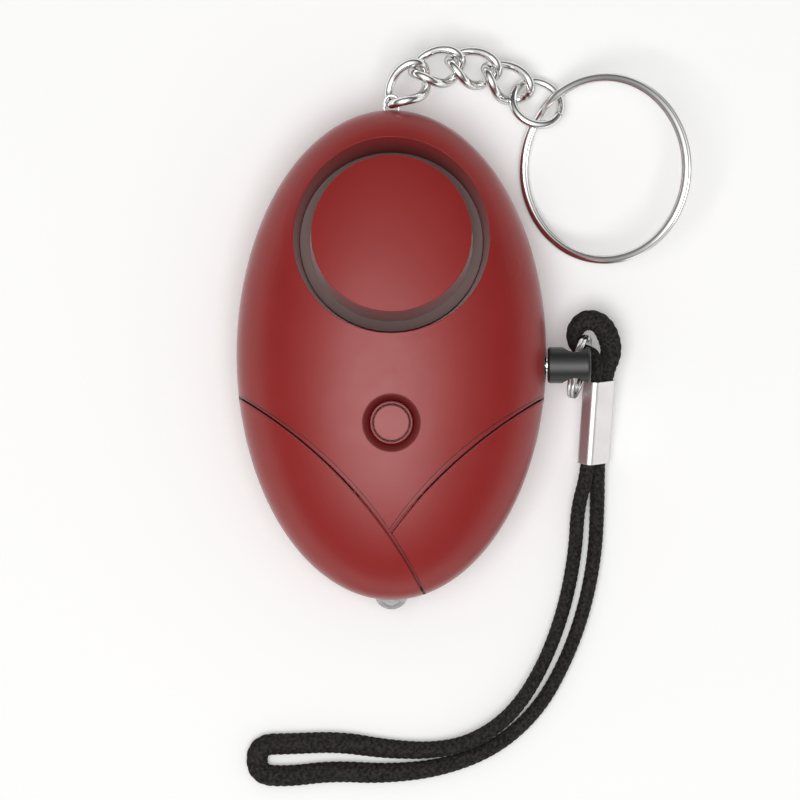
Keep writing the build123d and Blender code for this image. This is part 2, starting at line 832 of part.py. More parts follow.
# Lamp: a round-nosed cylinder with a flange, and its two legs
with BuildPart() as led_lamp:
    with BuildSketch(Plane.YZ):
        with BuildLine():
            lamp_back = lamp_tip + lamp_length
            flange_front = lamp_back - lamp_flange_thickness
            nose_end = (lamp_tip + lamp_radius, lamp_height + lamp_radius)
            Line((lamp_back, lamp_height), (lamp_tip, lamp_height))
            RadiusArc((lamp_tip, lamp_height), nose_end, lamp_radius)
            Polyline(
                nose_end,
                (flange_front, lamp_height + lamp_radius),
                (flange_front, lamp_height + lamp_radius + lamp_flange),
                (lamp_back, lamp_height + lamp_radius + lamp_flange),
                (lamp_back, lamp_height),
            )
        make_face()
    revolve(axis=Axis((0, 0, lamp_height), (0, 1, 0)))
save(led_lamp, "led_lamp")

lead_end = lamp_back + lead_run
with BuildPart() as led_leads:
    with BuildSketch(Plane.YZ):
        with BuildLine():
            Polyline(
                (lamp_back + seat_gap, lamp_height - lead_size / 2),
                (lead_end, lamp_height - lead_size / 2),
                (lead_end, board_foot),
                (lead_end - lead_size, board_foot),
                (lead_end - lead_size, lamp_height + lead_size / 2),
                (lamp_back + seat_gap, lamp_height + lead_size / 2),
                close=True,
            )
        make_face()
    extrude(amount=(lead_spacing + lead_size) / 2, both=True)
    with BuildSketch(Plane.YZ):
        with Locations((lamp_back, lamp_height - lead_size)):
            Rectangle(overrun, overrun, align=(Align.MIN, Align.MIN))
    extrude(amount=(lead_spacing - lead_size) / 2, both=True, mode=Mode.SUBTRACT)
save(led_leads, "led_leads")

# Case screws, their heads below and a cross in each
with BuildPart() as case_screws:
    with BuildSketch(Plane.XY.offset(screw_seat)):
        with Locations(*screw_places):
            Circle(screw_head_radius)
    extrude(amount=-screw_head_height)
    with BuildSketch(Plane.XY.offset(screw_seat)):
        with Locations(*screw_places):
            Circle(screw_shank)
    extrude(amount=screw_length)
    with BuildSketch(Plane.XY.offset(screw_seat - screw_head_height)):
        with Locations(*screw_places):
            Rectangle(2 * screw_shank, screw_cross)
            Rectangle(screw_cross, 2 * screw_shank)
    extrude(amount=screw_cross_depth, mode=Mode.SUBTRACT)
save(case_screws, "case_screws")

# Pull pin: a bush through the side, two blades that the pin holds apart, the pin and its head
with BuildPart() as pin_sleeve:
    with BuildSketch(pin_y_plane.offset(sleeve_start)):
        Circle(sleeve_radius)
    extrude(amount=overrun)
    add(front_outer + back_outer, mode=Mode.INTERSECT)
    with BuildSketch(pin_y_plane.offset(sleeve_start)):
        Circle(sleeve_radius + sleeve_flange)
    extrude(amount=-sleeve_flange_thickness)
    with BuildSketch(pin_y_plane.offset(sleeve_start - sleeve_flange_thickness)):
        Circle(pin_radius + snug)
    extrude(amount=2 * overrun, mode=Mode.SUBTRACT)
save(pin_sleeve, "pin_sleeve")

pin_tip = side_reach - pin_reach
blade_end = pin_tip + blade_length
with BuildPart() as pin_contact_blades:
    for side, tab in ((1, pin_tip), (-1, pin_tip - blade_step)):
        blade_face = parting_height + side * (pin_radius + 2 * snug)
        with BuildSketch(Plane.XZ.offset(-pin_place)):
            with Locations((tab, blade_face)):
                across = Align.MIN if side > 0 else Align.MAX
                Rectangle(blade_end - tab, blade_thickness, align=(Align.MIN, across))
                Rectangle(blade_thickness, board_foot - blade_face, align=Align.MIN)
        extrude(amount=blade_width / 2, both=True)
save(pin_contact_blades, "pin_contact_blades")

head_start = side_reach + head_gap
with BuildPart() as pull_pin:
    with BuildSketch(pin_y_plane.offset(pin_tip)):
        Circle(pin_radius)
    extrude(amount=head_start + pin_grip - pin_tip)
    fillet(pull_pin.edges().sort_by(Axis.X)[0], pin_radius / 2)
save(pull_pin, "pull_pin")

ring_hole = Vector(head_start + ring_hole_place, pin_place, parting_height)
with BuildPart() as pin_head:
    with BuildSketch(pin_y_plane.offset(head_start)):
        Circle(head_radius)
    extrude(amount=head_length)
    fillet(pin_head.edges(), head_round)
    with BuildSketch(pin_y_plane.offset(head_start)):
        Circle(pin_radius + snug)
    extrude(amount=pin_grip + seat_gap, mode=Mode.SUBTRACT)
    with BuildSketch(Plane(ring_hole, x_dir=(1, 0, 0), z_dir=(0, 1, 0))):
        Circle(ring_hole_radius)
    extrude(amount=overrun, both=True, mode=Mode.SUBTRACT)
save(pin_head, "pin_head")

# Split ring in the cross hole of the head
lean = radians(pin_ring_lean)
facing = Vector(cos(radians(pin_ring_turn)), sin(radians(pin_ring_turn)), 0)
down = facing * sin(lean) - Vector(0, 0, cos(lean))
ring_normal = facing * cos(lean) + Vector(0, 0, sin(lean))
pin_ring_centre = ring_hole + Vector(0, 0, pin_ring_rise) + down * pin_ring_radius
pin_ring_plane = Plane(pin_ring_centre, x_dir=-down, z_dir=ring_normal)
pin_ring_blank = split_ring(
    pin_ring_radius,
    pin_ring_radial,
    pin_ring_coil,
    pin_ring_round,
    pin_ring_jog_place,
    pin_ring_jog,
)
with BuildPart() as pin_ring:
    add(pin_ring_blank.moved(pin_ring_plane.location))
save(pin_ring, "pin_ring")

# Eyelet: a staple whose feet are bent out behind the wall
eyelet_end = (-eyelet_half_width - eyelet_foot, eyelet_inside, parting_height)
with BuildPart() as keychain_eyelet:
    with BuildLine(Plane.XY.offset(parting_height)):
        arch_end = eyelet_top - eyelet_wire / 2 - eyelet_half_width
        for side in (-1, 1):
            FilletPolyline(
                (side * (eyelet_half_width + eyelet_foot), eyelet_inside),
                (side * eyelet_half_width, eyelet_inside),
                (side * eyelet_half_width, arch_end),
                radius=eyelet_bend,
            )
        CenterArc((0, arch_end), eyelet_half_width, 0, full_turn / 2)
    with BuildSketch(Plane(origin=eyelet_end, z_dir=(1, 0, 0))):
        Circle(eyelet_wire / 2)
    sweep()
save(keychain_eyelet, "keychain_eyelet")

# Curb chain: a quarter of a link is two arcs; two quarters are swept, and two halves make the link
twist = radians(link_twist)
link_side = Vector(0, link_half_width, 0)
side_way = Vector(link_half_length, 0, link_half_width * twist).normalized()
link_tip = Vector(link_half_length, 0, 0)
tip_way = Vector(0, -cos(twist), -sin(twist))
with BuildLine() as link_quarter:
    biarc(link_side, side_way, link_tip, tip_way, link_side_tangent)
with BuildPart() as link_half:
    with BuildLine():
        add(link_quarter.line)
        add(link_quarter.line.rotate(Axis.X, full_turn / 2))
    with BuildSketch(Plane(origin=link_side, z_dir=side_way)):
        Circle(link_wire / 2)
    sweep()
link_blank = link_half.part + link_half.part.rotate(Axis.Z, full_turn / 2)

link_back = (link_wire + link_slack) / 2
link_pitch = 2 * (link_half_length - link_back)
chain_start_height = parting_height + first_link_rise
chain_run = len(link_headings) * link_pitch + link_back
drop = asin((chain_start_height - chain_end_height) / chain_run)
chain_joint = Vector(first_link_x, eyelet_top - first_link_seat, chain_start_height)
for number, (heading, link_roll) in enumerate(zip(link_headings, link_rolls)):
    roll = radians(link_roll)
    along = Vector(cos(radians(heading)) * cos(drop), sin(radians(heading)) * cos(drop), -sin(drop))
    level = Vector(0, 0, 1).cross(along).normalized()
    upright = along.cross(level)
    overlap = link_back if number else 0
    link_centre = chain_joint + along * (link_half_length - overlap)
    chain_joint = link_centre + along * (link_half_length - link_back)
    seat = Plane(link_centre, x_dir=along, z_dir=upright * cos(roll) - level * sin(roll))
    with BuildPart() as chain_link:
        add(link_blank.moved(seat.location))
    save(chain_link, f"chain_link_{number + 1}")

tilt = radians(jump_tilt)
jump_turn = radians(jump_lean)
jump_centre = Vector(chain_joint.X + jump_ahead, chain_joint.Y - jump_aside, jump_height)
jump_normal = Vector(sin(tilt) * sin(jump_turn), sin(tilt) * cos(jump_turn), cos(tilt))
jump_plane = Plane(jump_centre, x_dir=(cos(jump_turn), -sin(jump_turn), 0), z_dir=jump_normal)
with BuildPart() as jump_ring:
    with BuildSketch(Plane.XZ):
        with Locations((jump_radius, 0)):
            Circle(jump_wire / 2)
    revolve(axis=Axis.Z, revolution_arc=full_turn - degrees(jump_cut / jump_radius))
jump_ring.part = jump_ring.part.moved(jump_plane.location)
save(jump_ring, "jump_ring")

key_tilt = radians(key_ring_tilt)
key_ring_reach = (key_ring_radius + key_ring_radial / 2) * sin(key_tilt)
key_ring_rise = key_ring_reach + (key_ring_coil + split_gap / 2) * cos(key_tilt) + snug
key_ring_centre = Vector(jump_centre.X + key_ring_ahead, jump_centre.Y - key_ring_aside, key_ring_rise)
key_ring_plane = Plane(
    key_ring_centre,
    x_dir=(cos(key_tilt), 0, sin(key_tilt)),
    z_dir=(-sin(key_tilt), 0, cos(key_tilt)),
)
key_ring_blank = split_ring(
    key_ring_radius,
    key_ring_radial,
    key_ring_coil,
    key_ring_round,
    key_ring_jog_place,
    key_ring_jog,
)
with BuildPart() as key_ring:
    add(key_ring_blank.moved(key_ring_plane.location))
save(key_ring, "key_ring")

# Wrist loop: the sleeve's wide side is rolled over, so one strand lies above the other
hole_in_plan = Vector(ring_hole.X, ring_hole.Y, 0)
ferrule_top = ring_hole + Vector(*ferrule_top_place)
ferrule_foot = hole_in_plan + Vector(*ferrule_foot_place)
ferrule_way = (ferrule_top - ferrule_foot).normalized()
roll_down = radians(ferrule_roll)
strand_side = Vector(cos(roll_down), 0, -sin(roll_down))
strand_side = (strand_side - ferrule_way * strand_side.dot(ferrule_way)).normalized()
strand_offset = (cord_diameter + strand_gap) / 2
bore_width = cord_diameter + 2 * snug
ferrule_plane = Plane(ferrule_foot, x_dir=strand_side, z_dir=ferrule_way)
ferrule_run = (ferrule_top - ferrule_foot).length
with BuildPart() as cord_ferrule:
    with BuildSketch(ferrule_plane):
        RectangleRounded(
            2 * strand_offset + bore_width + 2 * ferrule_wall,
            bore_width + 2 * ferrule_wall,
            ferrule_round,
        )
        SlotCenterToCenter(2 * strand_offset, bore_width, mode=Mode.SUBTRACT)
    extrude(amount=ferrule_run)
save(cord_ferrule, "cord_ferrule")

left = strand_side * -strand_offset
right = strand_side * strand_offset
above = ferrule_top + ferrule_way * cord_lead
below = ferrule_foot - ferrule_way * cord_lead
cord_start = ferrule_top + left - ferrule_way * cord_end_depth
cord_route = [cord_start, above + left]
cord_route += [ring_hole + Vector(*place) for place in fold_places]
cord_route += [above + right, below + right]
cord_route += [hole_in_plan + Vector(*place) for place in loop_places]
cord_route += [below + left, cord_start - ferrule_way * cord_end_gap]
mouths = [1, len(fold_places) + 2, len(fold_places) + 3, len(cord_route) - 2]
cord_radii = corner_radii(cord_route, mouths)
print("cord radii", [round(radius, 2) for radius in cord_radii])
with BuildPart() as wrist_cord:
    add(tube(cord_route, cord_diameter, cord_radii))
save(wrist_cord, "wrist_cord")
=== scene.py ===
# %% [markdown]
# # A personal safety alarm, dressed piece by piece
# The object is a red, egg-shaped pocket alarm. It has a siren, a push button, a small lamp, a pull
# pin on a braided wrist loop, and a curb chain with a split ring. The solid parts come ready made
# from the CAD model. This lesson gives each one the finish of the real material, makes the braided
# cord and a few small forms that the solid parts lack, and lights the whole on a white table.
# Blender works in metres, +Z is up, and the siren end points to +Y. The places of the cord and of
# the added forms are listed in millimetres, and MM turns them to metres when a mesh is made.

# %% Load the solid parts
import math

import bpy
import numpy as np
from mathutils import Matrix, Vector


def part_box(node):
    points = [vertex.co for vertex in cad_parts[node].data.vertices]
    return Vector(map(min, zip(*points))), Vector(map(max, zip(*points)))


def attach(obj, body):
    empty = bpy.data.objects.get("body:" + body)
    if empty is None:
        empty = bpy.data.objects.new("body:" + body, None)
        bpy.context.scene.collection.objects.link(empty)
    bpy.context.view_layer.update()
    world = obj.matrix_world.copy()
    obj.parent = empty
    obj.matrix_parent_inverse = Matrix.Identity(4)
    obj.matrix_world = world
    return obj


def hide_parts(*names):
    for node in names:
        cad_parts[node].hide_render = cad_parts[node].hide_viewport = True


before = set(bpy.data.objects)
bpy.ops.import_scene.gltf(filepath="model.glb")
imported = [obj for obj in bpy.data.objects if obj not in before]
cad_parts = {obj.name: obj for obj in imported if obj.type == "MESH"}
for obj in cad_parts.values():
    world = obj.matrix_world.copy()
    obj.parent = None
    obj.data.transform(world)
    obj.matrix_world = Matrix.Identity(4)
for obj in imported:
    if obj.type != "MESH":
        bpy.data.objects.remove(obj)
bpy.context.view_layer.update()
MM = 0.001

# %% [markdown]
# ## The camera
# The picture looks straight down on the alarm with a long lens, so that no side of the case shows
# and circles stay circles. A camera far away with a narrow view does that. The lens follows from
# the distance and from the width of table that the picture shows, 114.3 mm. It could also be an
# orthographic camera, but a far one keeps the last trace of perspective that a real lens has.

# %% Place the camera
view_width = 114.286 * MM
view_centre = (1.214 * MM, -6.429 * MM)
camera_rise = 1.5
parting_level = 9 * MM

lens = bpy.data.cameras.new("Long_lens")
lens.sensor_width = 36
lens.lens = lens.sensor_width * camera_rise / view_width
lens.clip_start = 0.1
lens.clip_end = 20
camera = bpy.data.objects.new("Camera", lens)
# The scale of the picture holds at the level where the case is widest.
camera.location = (*view_centre, camera_rise + parting_level)
bpy.context.scene.collection.objects.link(camera)
bpy.context.scene.camera = camera
bpy.context.scene.view_settings.view_transform = "Standard"
print("lens", round(lens.lens), "mm")

# %% [markdown]
# ## Three small helpers
# Node trees for materials and for shapes are built in the same way: add a node, set it, and join
# it to the ones before. One helper does this for every kind of node. A value that is an output
# socket is linked, and anything else is typed into the socket. The second helper turns the colours
# that people write, such as #89110d, into the linear light that a renderer adds up. The third
# starts a material whose patterns are laid out in the object's own coordinates.


# %% Helpers for nodes, colours and materials
def add_node(tree, kind, inputs=None, **settings):
    """Add a node to a tree, with its settings, and with a link or a value for each input."""
    made = tree.nodes.new(kind)
    for name, value in settings.items():
        setattr(made, name, value)
    for name, value in (inputs or {}).items():
        if isinstance(value, bpy.types.NodeSocket):
            tree.links.new(value, made.inputs[name])
        else:
            made.inputs[name].default_value = value
    return made


def linear(written):
    """A colour written as sRGB hex, as four linear numbers."""
    shares = [int(written[place : place + 2], 16) / 255 for place in (1, 3, 5)]
    return [s / 12.92 if s <= 0.04045 else ((s + 0.055) / 1.055) ** 2.4 for s in shares] + [1]


def new_material(name):
    """A material with an empty tree, the tree, and the socket that gives the place on the object."""
    material = bpy.data.materials.new(name)
    material.use_nodes = True
    material.node_tree.nodes.clear()
    spot = add_node(material.node_tree, "ShaderNodeTexCoord").outputs["Object"]
    return material, material.node_tree, spot


case_colour = "#89110d"
print("the case's red in linear light", [round(v, 3) for v in linear(case_colour)])

# %% [markdown]
# ## The route of the wrist cord
# The cord is one endless braid. Its two ends meet inside the pressed metal sleeve, where nobody
# sees them. It comes out of the top of the sleeve, goes through the small split ring, turns back
# into the sleeve, leaves below it, and lies on the table in a long loop. A limp cord bends evenly,
# so its line is a smooth spline that is only pulled toward a few points. A NURBS spline does just
# that. The points are the ones that the solid cord was made from, but the fold through the ring is
# drawn up to 0.4 mm smaller, because the braid spreads there and would stick out too far.

# %% The sleeve, and how the strands sit in it, in mm
sleeve_top = Vector((29.75, -3.6, 4.6))
sleeve_foot = Vector((28.95, -15.4, 2.6))
sleeve_way = (sleeve_top - sleeve_foot).normalized()
sleeve_roll = math.radians(50)
strand_side = Vector((math.cos(sleeve_roll), 0, -math.sin(sleeve_roll)))
strand_side = (strand_side - sleeve_way * strand_side.dot(sleeve_way)).normalized()
strand_offset = 1.03
mouth_lead = 1.2
end_depth = 3.4
end_gap = 1.0
left_hold = 1.6
right_hold_above = 3.3
right_hold_below = 5.0

left_above = sleeve_top + sleeve_way * mouth_lead - strand_side * strand_offset
left_below = sleeve_foot - sleeve_way * mouth_lead - strand_side * strand_offset
right_above = sleeve_top + sleeve_way * mouth_lead + strand_side * strand_offset
right_below = sleeve_foot - sleeve_way * mouth_lead + strand_side * strand_offset
cord_start = sleeve_top - strand_side * strand_offset - sleeve_way * end_depth
cord_end = cord_start - sleeve_way * end_gap
print("sleeve", round((sleeve_top - sleeve_foot).length, 2), "mm long")

# %% Points that the cord is pulled toward, in mm
lying = 1.05
fold_points = [
    (29.4, -0.9, 5.4),
    (28.5, 0.35, 5.1),
    (26.95, 0.65, 4.95),
    (26.1, 1.95, 5.05),
    (26.25, 3.75, 5.2),
    (27.6, 5.05, 5.3),
    (29.4, 4.95, 5.2),
    (30.75, 3.6, 4.9),
    (31.7, 0.6, 4.2),
]
table_points = [
    (29.55, -21.5, lying),
    (29.2, -28.8, lying),
    (27.7, -36.5, lying),
    (25.0, -44.0, lying),
    (20.9, -51.2, lying),
    (14.6, -56.6, lying),
    (7.0, -59.3, lying),
    (-1.0, -60.1, lying),
    (-8.5, -59.7, lying),
    (-15.0, -60.5, lying),
    (-19.3, -60.2, lying),
    (-19.3, -55.9, lying),
    (-14.5, -55.8, lying),
    (-7.5, -55.5, lying),
    (-0.5, -56.6, lying),
    (6.5, -56.8, 1.3),
    (12.4, -55.2, 2.15),
    (17.8, -51.1, 2.35),
    (22.0, -44.2, 1.8),
    (24.9, -36.2, 1.1),
    (26.4, -28.2, 1.2),
    (26.7, -21.8, 2.0),
]
# Inside the sleeve three more points keep the strands straight up to its mouths.
cord_points = [cord_start, left_above - sleeve_way * left_hold, left_above]
cord_points += [Vector(point) for point in fold_points]
cord_points += [right_above, right_above - sleeve_way * right_hold_above]
cord_points += [right_below + sleeve_way * right_hold_below, right_below]
cord_points += [Vector(point) for point in table_points]
cord_points += [left_below, cord_end]
print(len(cord_points), "points for the cord")

# %% [markdown]
# ## The spline, and the line read from it
# The spline's points are added first and its order is set after them, because an order that is set
# on an empty spline falls back to straight runs. Blender then gives the smooth line as a chain of
# short edges, and everything that follows the cord follows that chain.

# %% Make the spline and read its line
route = bpy.data.curves.new("cord_route", "CURVE")
route.dimensions = "3D"
route.resolution_u = 16
spline = route.splines.new("NURBS")
spline.points.add(len(cord_points) - 1)
for point, place in zip(spline.points, cord_points):
    point.co = (*(place * MM), 1)
spline.use_endpoint_u = True
spline.order_u = 3
route_object = bpy.data.objects.new("cord_route", route)
bpy.context.scene.collection.objects.link(route_object)
bpy.context.view_layer.update()
cord_mesh = bpy.data.meshes.new_from_object(route_object)
cord_line = np.array([vertex.co for vertex in cord_mesh.vertices])
bpy.data.objects.remove(route_object)
steps = np.linalg.norm(np.diff(cord_line, axis=0), axis=1)
cord_length = float(steps.sum())
print(len(cord_line), "points on the line, cord", round(cord_length / MM, 1), "mm, order", spline.order_u)

# %% [markdown]
# ## How wide the cord lies
# The braid has a soft core, so it is round where the sleeve grips it and flattens where it lies
# free. At the fold through the ring its yarns spread, and at the far end of the loop it lies flat
# and looks wide. In the bend at the lower right it stands on edge and looks thin. A short table
# gives the half width and the half height at a few shares of the length, and each point of the
# line carries the values between them.

# %% Half width and half height along the line
# Each row holds a share of the length, and the half width and the half height there in mm.
section_table = [
    (0.00, 1.00, 1.00),
    (0.05, 1.00, 1.00),
    (0.07, 1.40, 1.00),
    (0.09, 1.55, 1.00),
    (0.12, 1.35, 1.00),
    (0.15, 1.00, 1.00),
    (0.20, 1.05, 0.98),
    (0.24, 1.00, 1.00),
    (0.33, 0.95, 1.00),
    (0.42, 1.10, 1.00),
    (0.50, 1.45, 0.98),
    (0.60, 1.50, 0.98),
    (0.66, 1.45, 0.98),
    (0.73, 1.10, 1.00),
    (0.82, 0.95, 1.00),
    (0.92, 1.00, 1.00),
    (1.00, 1.00, 1.00),
]
line_share = np.concatenate([[0], np.cumsum(steps)]) / cord_length
table_shares, half_widths, half_heights = zip(*section_table)
for name, values in (("half_width", half_widths), ("half_height", half_heights)):
    size = cord_mesh.attributes.new(name, "FLOAT", "POINT")
    size.data.foreach_set("value", np.interp(line_share, table_shares, values).astype(np.float32) * MM)
print("width in mm", 2 * min(half_widths), "to", 2 * max(half_widths))

# %% [markdown]
# ## The braid
# A round braid is two sets of yarns that wind opposite ways and pass over two and under two of
# each other. Modelling each yarn would take several hundred thousand faces. Instead one tube
# follows the line, and a rule lifts its surface where a yarn lies on top. Geometry Nodes suits
# this, because the pattern is a formula in two numbers: how far along the cord a point is, and how
# far round it. The yarns of a 2 mm cord are a little over half a millimetre wide, and so are these.

# %% Sockets of the braid tree
braid = bpy.data.node_groups.new("Braid_on_a_line", "GeometryNodeTree")
for name, kind, default in (
    ("Line", "NodeSocketGeometry", None),
    ("Yarns each way", "NodeSocketFloat", 8),
    ("Rise per yarn", "NodeSocketFloat", 1.0 * MM),
    ("Yarn height", "NodeSocketFloat", 0.11),
    ("Faces round", "NodeSocketInt", 48),
    ("Step", "NodeSocketFloat", 0.165 * MM),
    ("Finish", "NodeSocketMaterial", None),
):
    socket = braid.interface.new_socket(name=name, in_out="INPUT", socket_type=kind)
    if default is not None:
        socket.default_value = default
braid.interface.new_socket(name="Cord", in_out="OUTPUT", socket_type="NodeSocketGeometry")
given = add_node(braid, "NodeGroupInput").outputs
print("braid inputs:", [socket.name for socket in given if socket.name])

# %% The centre line, and what each of its points knows
curve = add_node(braid, "GeometryNodeMeshToCurve", {"Mesh": given["Line"]}).outputs["Curve"]
curve = add_node(braid, "GeometryNodeSetCurveNormal", {"Curve": curve}, mode="Z_UP").outputs["Curve"]
fine_curve = add_node(
    braid, "GeometryNodeResampleCurve", {"Curve": curve, "Length": given["Step"]}, mode="LENGTH"
)
keep = add_node(braid, "GeometryNodeCaptureAttribute", {"Geometry": fine_curve.outputs["Curve"]})
known = {
    "centre": ("VECTOR", add_node(braid, "GeometryNodeInputPosition").outputs["Position"]),
    "side": ("VECTOR", add_node(braid, "GeometryNodeInputNormal").outputs["Normal"]),
    "way": ("VECTOR", add_node(braid, "GeometryNodeInputTangent").outputs["Tangent"]),
    "along": ("FLOAT", add_node(braid, "GeometryNodeSplineParameter").outputs["Length"]),
}
for name, (kind, value) in known.items():
    keep.capture_items.new(kind, name)
    braid.links.new(value, keep.inputs[name])
print("kept on the line:", list(known))

# %% The tube round the line, and how far round it each point is
round_curve = add_node(
    braid, "GeometryNodeCurvePrimitiveCircle", {"Resolution": given["Faces round"], "Radius": MM}
)
keep_round = add_node(braid, "GeometryNodeCaptureAttribute", {"Geometry": round_curve.outputs["Curve"]})
keep_round.capture_items.new("FLOAT", "round")
braid.links.new(add_node(braid, "GeometryNodeSplineParameter").outputs["Factor"], keep_round.inputs["round"])
skin = add_node(
    braid,
    "GeometryNodeCurveToMesh",
    {"Curve": keep.outputs["Geometry"], "Profile Curve": keep_round.outputs["Geometry"], "Fill Caps": True},
)
round_share = keep_round.outputs["round"]
print("braid nodes so far:", len(braid.nodes))

# %% [markdown]
# The two sets of yarns are two ways of counting: one number grows with both the length and the
# turn, and the other shrinks with the length. Their whole parts name the yarns that cross at a
# point, and the sum of the two, counted in fours, says which one lies on top.

# %% Which yarns cross at a point
turns = add_node(
    braid, "ShaderNodeMath", {0: round_share, 1: given["Yarns each way"]}, operation="MULTIPLY"
).outputs[0]
rows = add_node(
    braid, "ShaderNodeMath", {0: keep.outputs["along"], 1: given["Rise per yarn"]}, operation="DIVIDE"
).outputs[0]
right_hand = add_node(braid, "ShaderNodeMath", {0: turns, 1: rows}, operation="ADD").outputs[0]
left_hand = add_node(braid, "ShaderNodeMath", {0: turns, 1: rows}, operation="SUBTRACT").outputs[0]
right_yarn = add_node(braid, "ShaderNodeMath", {0: right_hand}, operation="FLOOR").outputs[0]
left_yarn = add_node(braid, "ShaderNodeMath", {0: left_hand}, operation="FLOOR").outputs[0]
print("braid nodes so far:", len(braid.nodes))

# %% [markdown]
# A yarn that lies on top has a rounded back across it, and along it an arch over two crossings. Both
# follow half a sine. The back is made fuller, because a soft yarn spreads, and the arch starts and
# ends well above the core, because the yarn dips under its neighbour steeply.

# %% How high the yarn on top stands
weave_repeat = 4
last_right_count = 1.5
back_fullness = 0.6
arch_foot = 0.6
arch_rise = 0.4


def yarn_height(over, yarn, crossing, first):
    """Height of one set of yarns, from its count, the other set's count and where its arch starts."""
    across = add_node(braid, "ShaderNodeMath", {0: yarn[0], 1: yarn[1]}, operation="SUBTRACT").outputs[0]
    bend = add_node(braid, "ShaderNodeMath", {0: across, 1: math.pi}, operation="MULTIPLY").outputs[0]
    back = add_node(braid, "ShaderNodeMath", {0: bend}, operation="SINE").outputs[0]
    back = add_node(braid, "ShaderNodeMath", {0: back, 1: back_fullness}, operation="POWER").outputs[0]
    place = add_node(braid, "ShaderNodeMath", {0: yarn[1], 1: crossing}, operation="ADD").outputs[0]
    place = add_node(
        braid, "ShaderNodeMath", {0: place, 1: weave_repeat}, operation="FLOORED_MODULO"
    ).outputs[0]
    place = add_node(braid, "ShaderNodeMath", {0: place, 1: first}, operation="SUBTRACT").outputs[0]
    arch = add_node(braid, "ShaderNodeMath", {0: place, 1: math.pi / 2}, operation="MULTIPLY").outputs[0]
    arch = add_node(braid, "ShaderNodeMath", {0: arch}, operation="SINE").outputs[0]
    arch = add_node(
        braid, "ShaderNodeMath", {0: arch, 1: arch_rise, 2: arch_foot}, operation="MULTIPLY_ADD"
    ).outputs[0]
    height = add_node(braid, "ShaderNodeMath", {0: back, 1: arch}, operation="MULTIPLY").outputs[0]
    return add_node(braid, "ShaderNodeMath", {0: height, 1: over}, operation="MULTIPLY").outputs[0]


count = add_node(braid, "ShaderNodeMath", {0: right_yarn, 1: left_yarn}, operation="ADD").outputs[0]
count = add_node(braid, "ShaderNodeMath", {0: count, 1: weave_repeat}, operation="FLOORED_MODULO").outputs[0]
right_over, left_over = [
    add_node(braid, "ShaderNodeMath", {0: count, 1: last_right_count}, operation=test).outputs[0]
    for test in ("LESS_THAN", "GREATER_THAN")
]
right_height = yarn_height(right_over, (right_hand, right_yarn), left_hand, 0)
left_height = yarn_height(left_over, (left_hand, left_yarn), right_hand, weave_repeat / 2)
crown = add_node(braid, "ShaderNodeMath", {0: right_height, 1: left_height}, operation="ADD").outputs[0]
print("braid nodes so far:", len(braid.nodes))

# %% [markdown]
# Each point of the tube is now put in its place: from the centre of the cord it goes sideways by
# the half width and up by the half height, both a little more where a yarn stands proud. The height
# of the yarn is also kept as an attribute, so that the finish can paint shade in the gaps and light on the
# yarns' backs.

# %% Put the skin in place
core_share = 0.94
angle = add_node(braid, "ShaderNodeMath", {0: round_share, 1: math.tau}, operation="MULTIPLY").outputs[0]
swell = add_node(
    braid, "ShaderNodeMath", {0: crown, 1: given["Yarn height"], 2: core_share}, operation="MULTIPLY_ADD"
).outputs[0]
side = keep.outputs["side"]
up = add_node(
    braid, "ShaderNodeVectorMath", {0: side, 1: keep.outputs["way"]}, operation="CROSS_PRODUCT"
).outputs[0]
place = keep.outputs["centre"]
for direction, turn_part, size_name in ((side, "COSINE", "half_width"), (up, "SINE", "half_height")):
    size = add_node(
        braid, "GeometryNodeInputNamedAttribute", {"Name": size_name}, data_type="FLOAT"
    ).outputs["Attribute"]
    part = add_node(braid, "ShaderNodeMath", {0: angle}, operation=turn_part).outputs[0]
    part = add_node(braid, "ShaderNodeMath", {0: part, 1: size}, operation="MULTIPLY").outputs[0]
    part = add_node(braid, "ShaderNodeMath", {0: part, 1: swell}, operation="MULTIPLY").outputs[0]
    reach = add_node(
        braid, "ShaderNodeVectorMath", {0: direction, "Scale": part}, operation="SCALE"
    ).outputs[0]
    place = add_node(braid, "ShaderNodeVectorMath", {0: place, 1: reach}, operation="ADD").outputs[0]
moved = add_node(braid, "GeometryNodeSetPosition", {"Geometry": skin.outputs["Mesh"], "Position": place})
print("braid nodes so far:", len(braid.nodes))

# %% Keep the yarn height, give the finish and end the tree
marked = add_node(
    braid,
    "GeometryNodeStoreNamedAttribute",
    {"Geometry": moved.outputs["Geometry"], "Name": "crown", "Value": crown},
    data_type="FLOAT",
    domain="POINT",
)
real = add_node(braid, "GeometryNodeRealizeInstances", {"Geometry": marked.outputs["Geometry"]})
coated = add_node(
    braid, "GeometryNodeSetMaterial", {"Geometry": real.outputs["Geometry"], "Material": given["Finish"]}
)
add_node(braid, "NodeGroupOutput", {"Cord": coated.outputs["Geometry"]})
print("braid nodes:", len(braid.nodes))
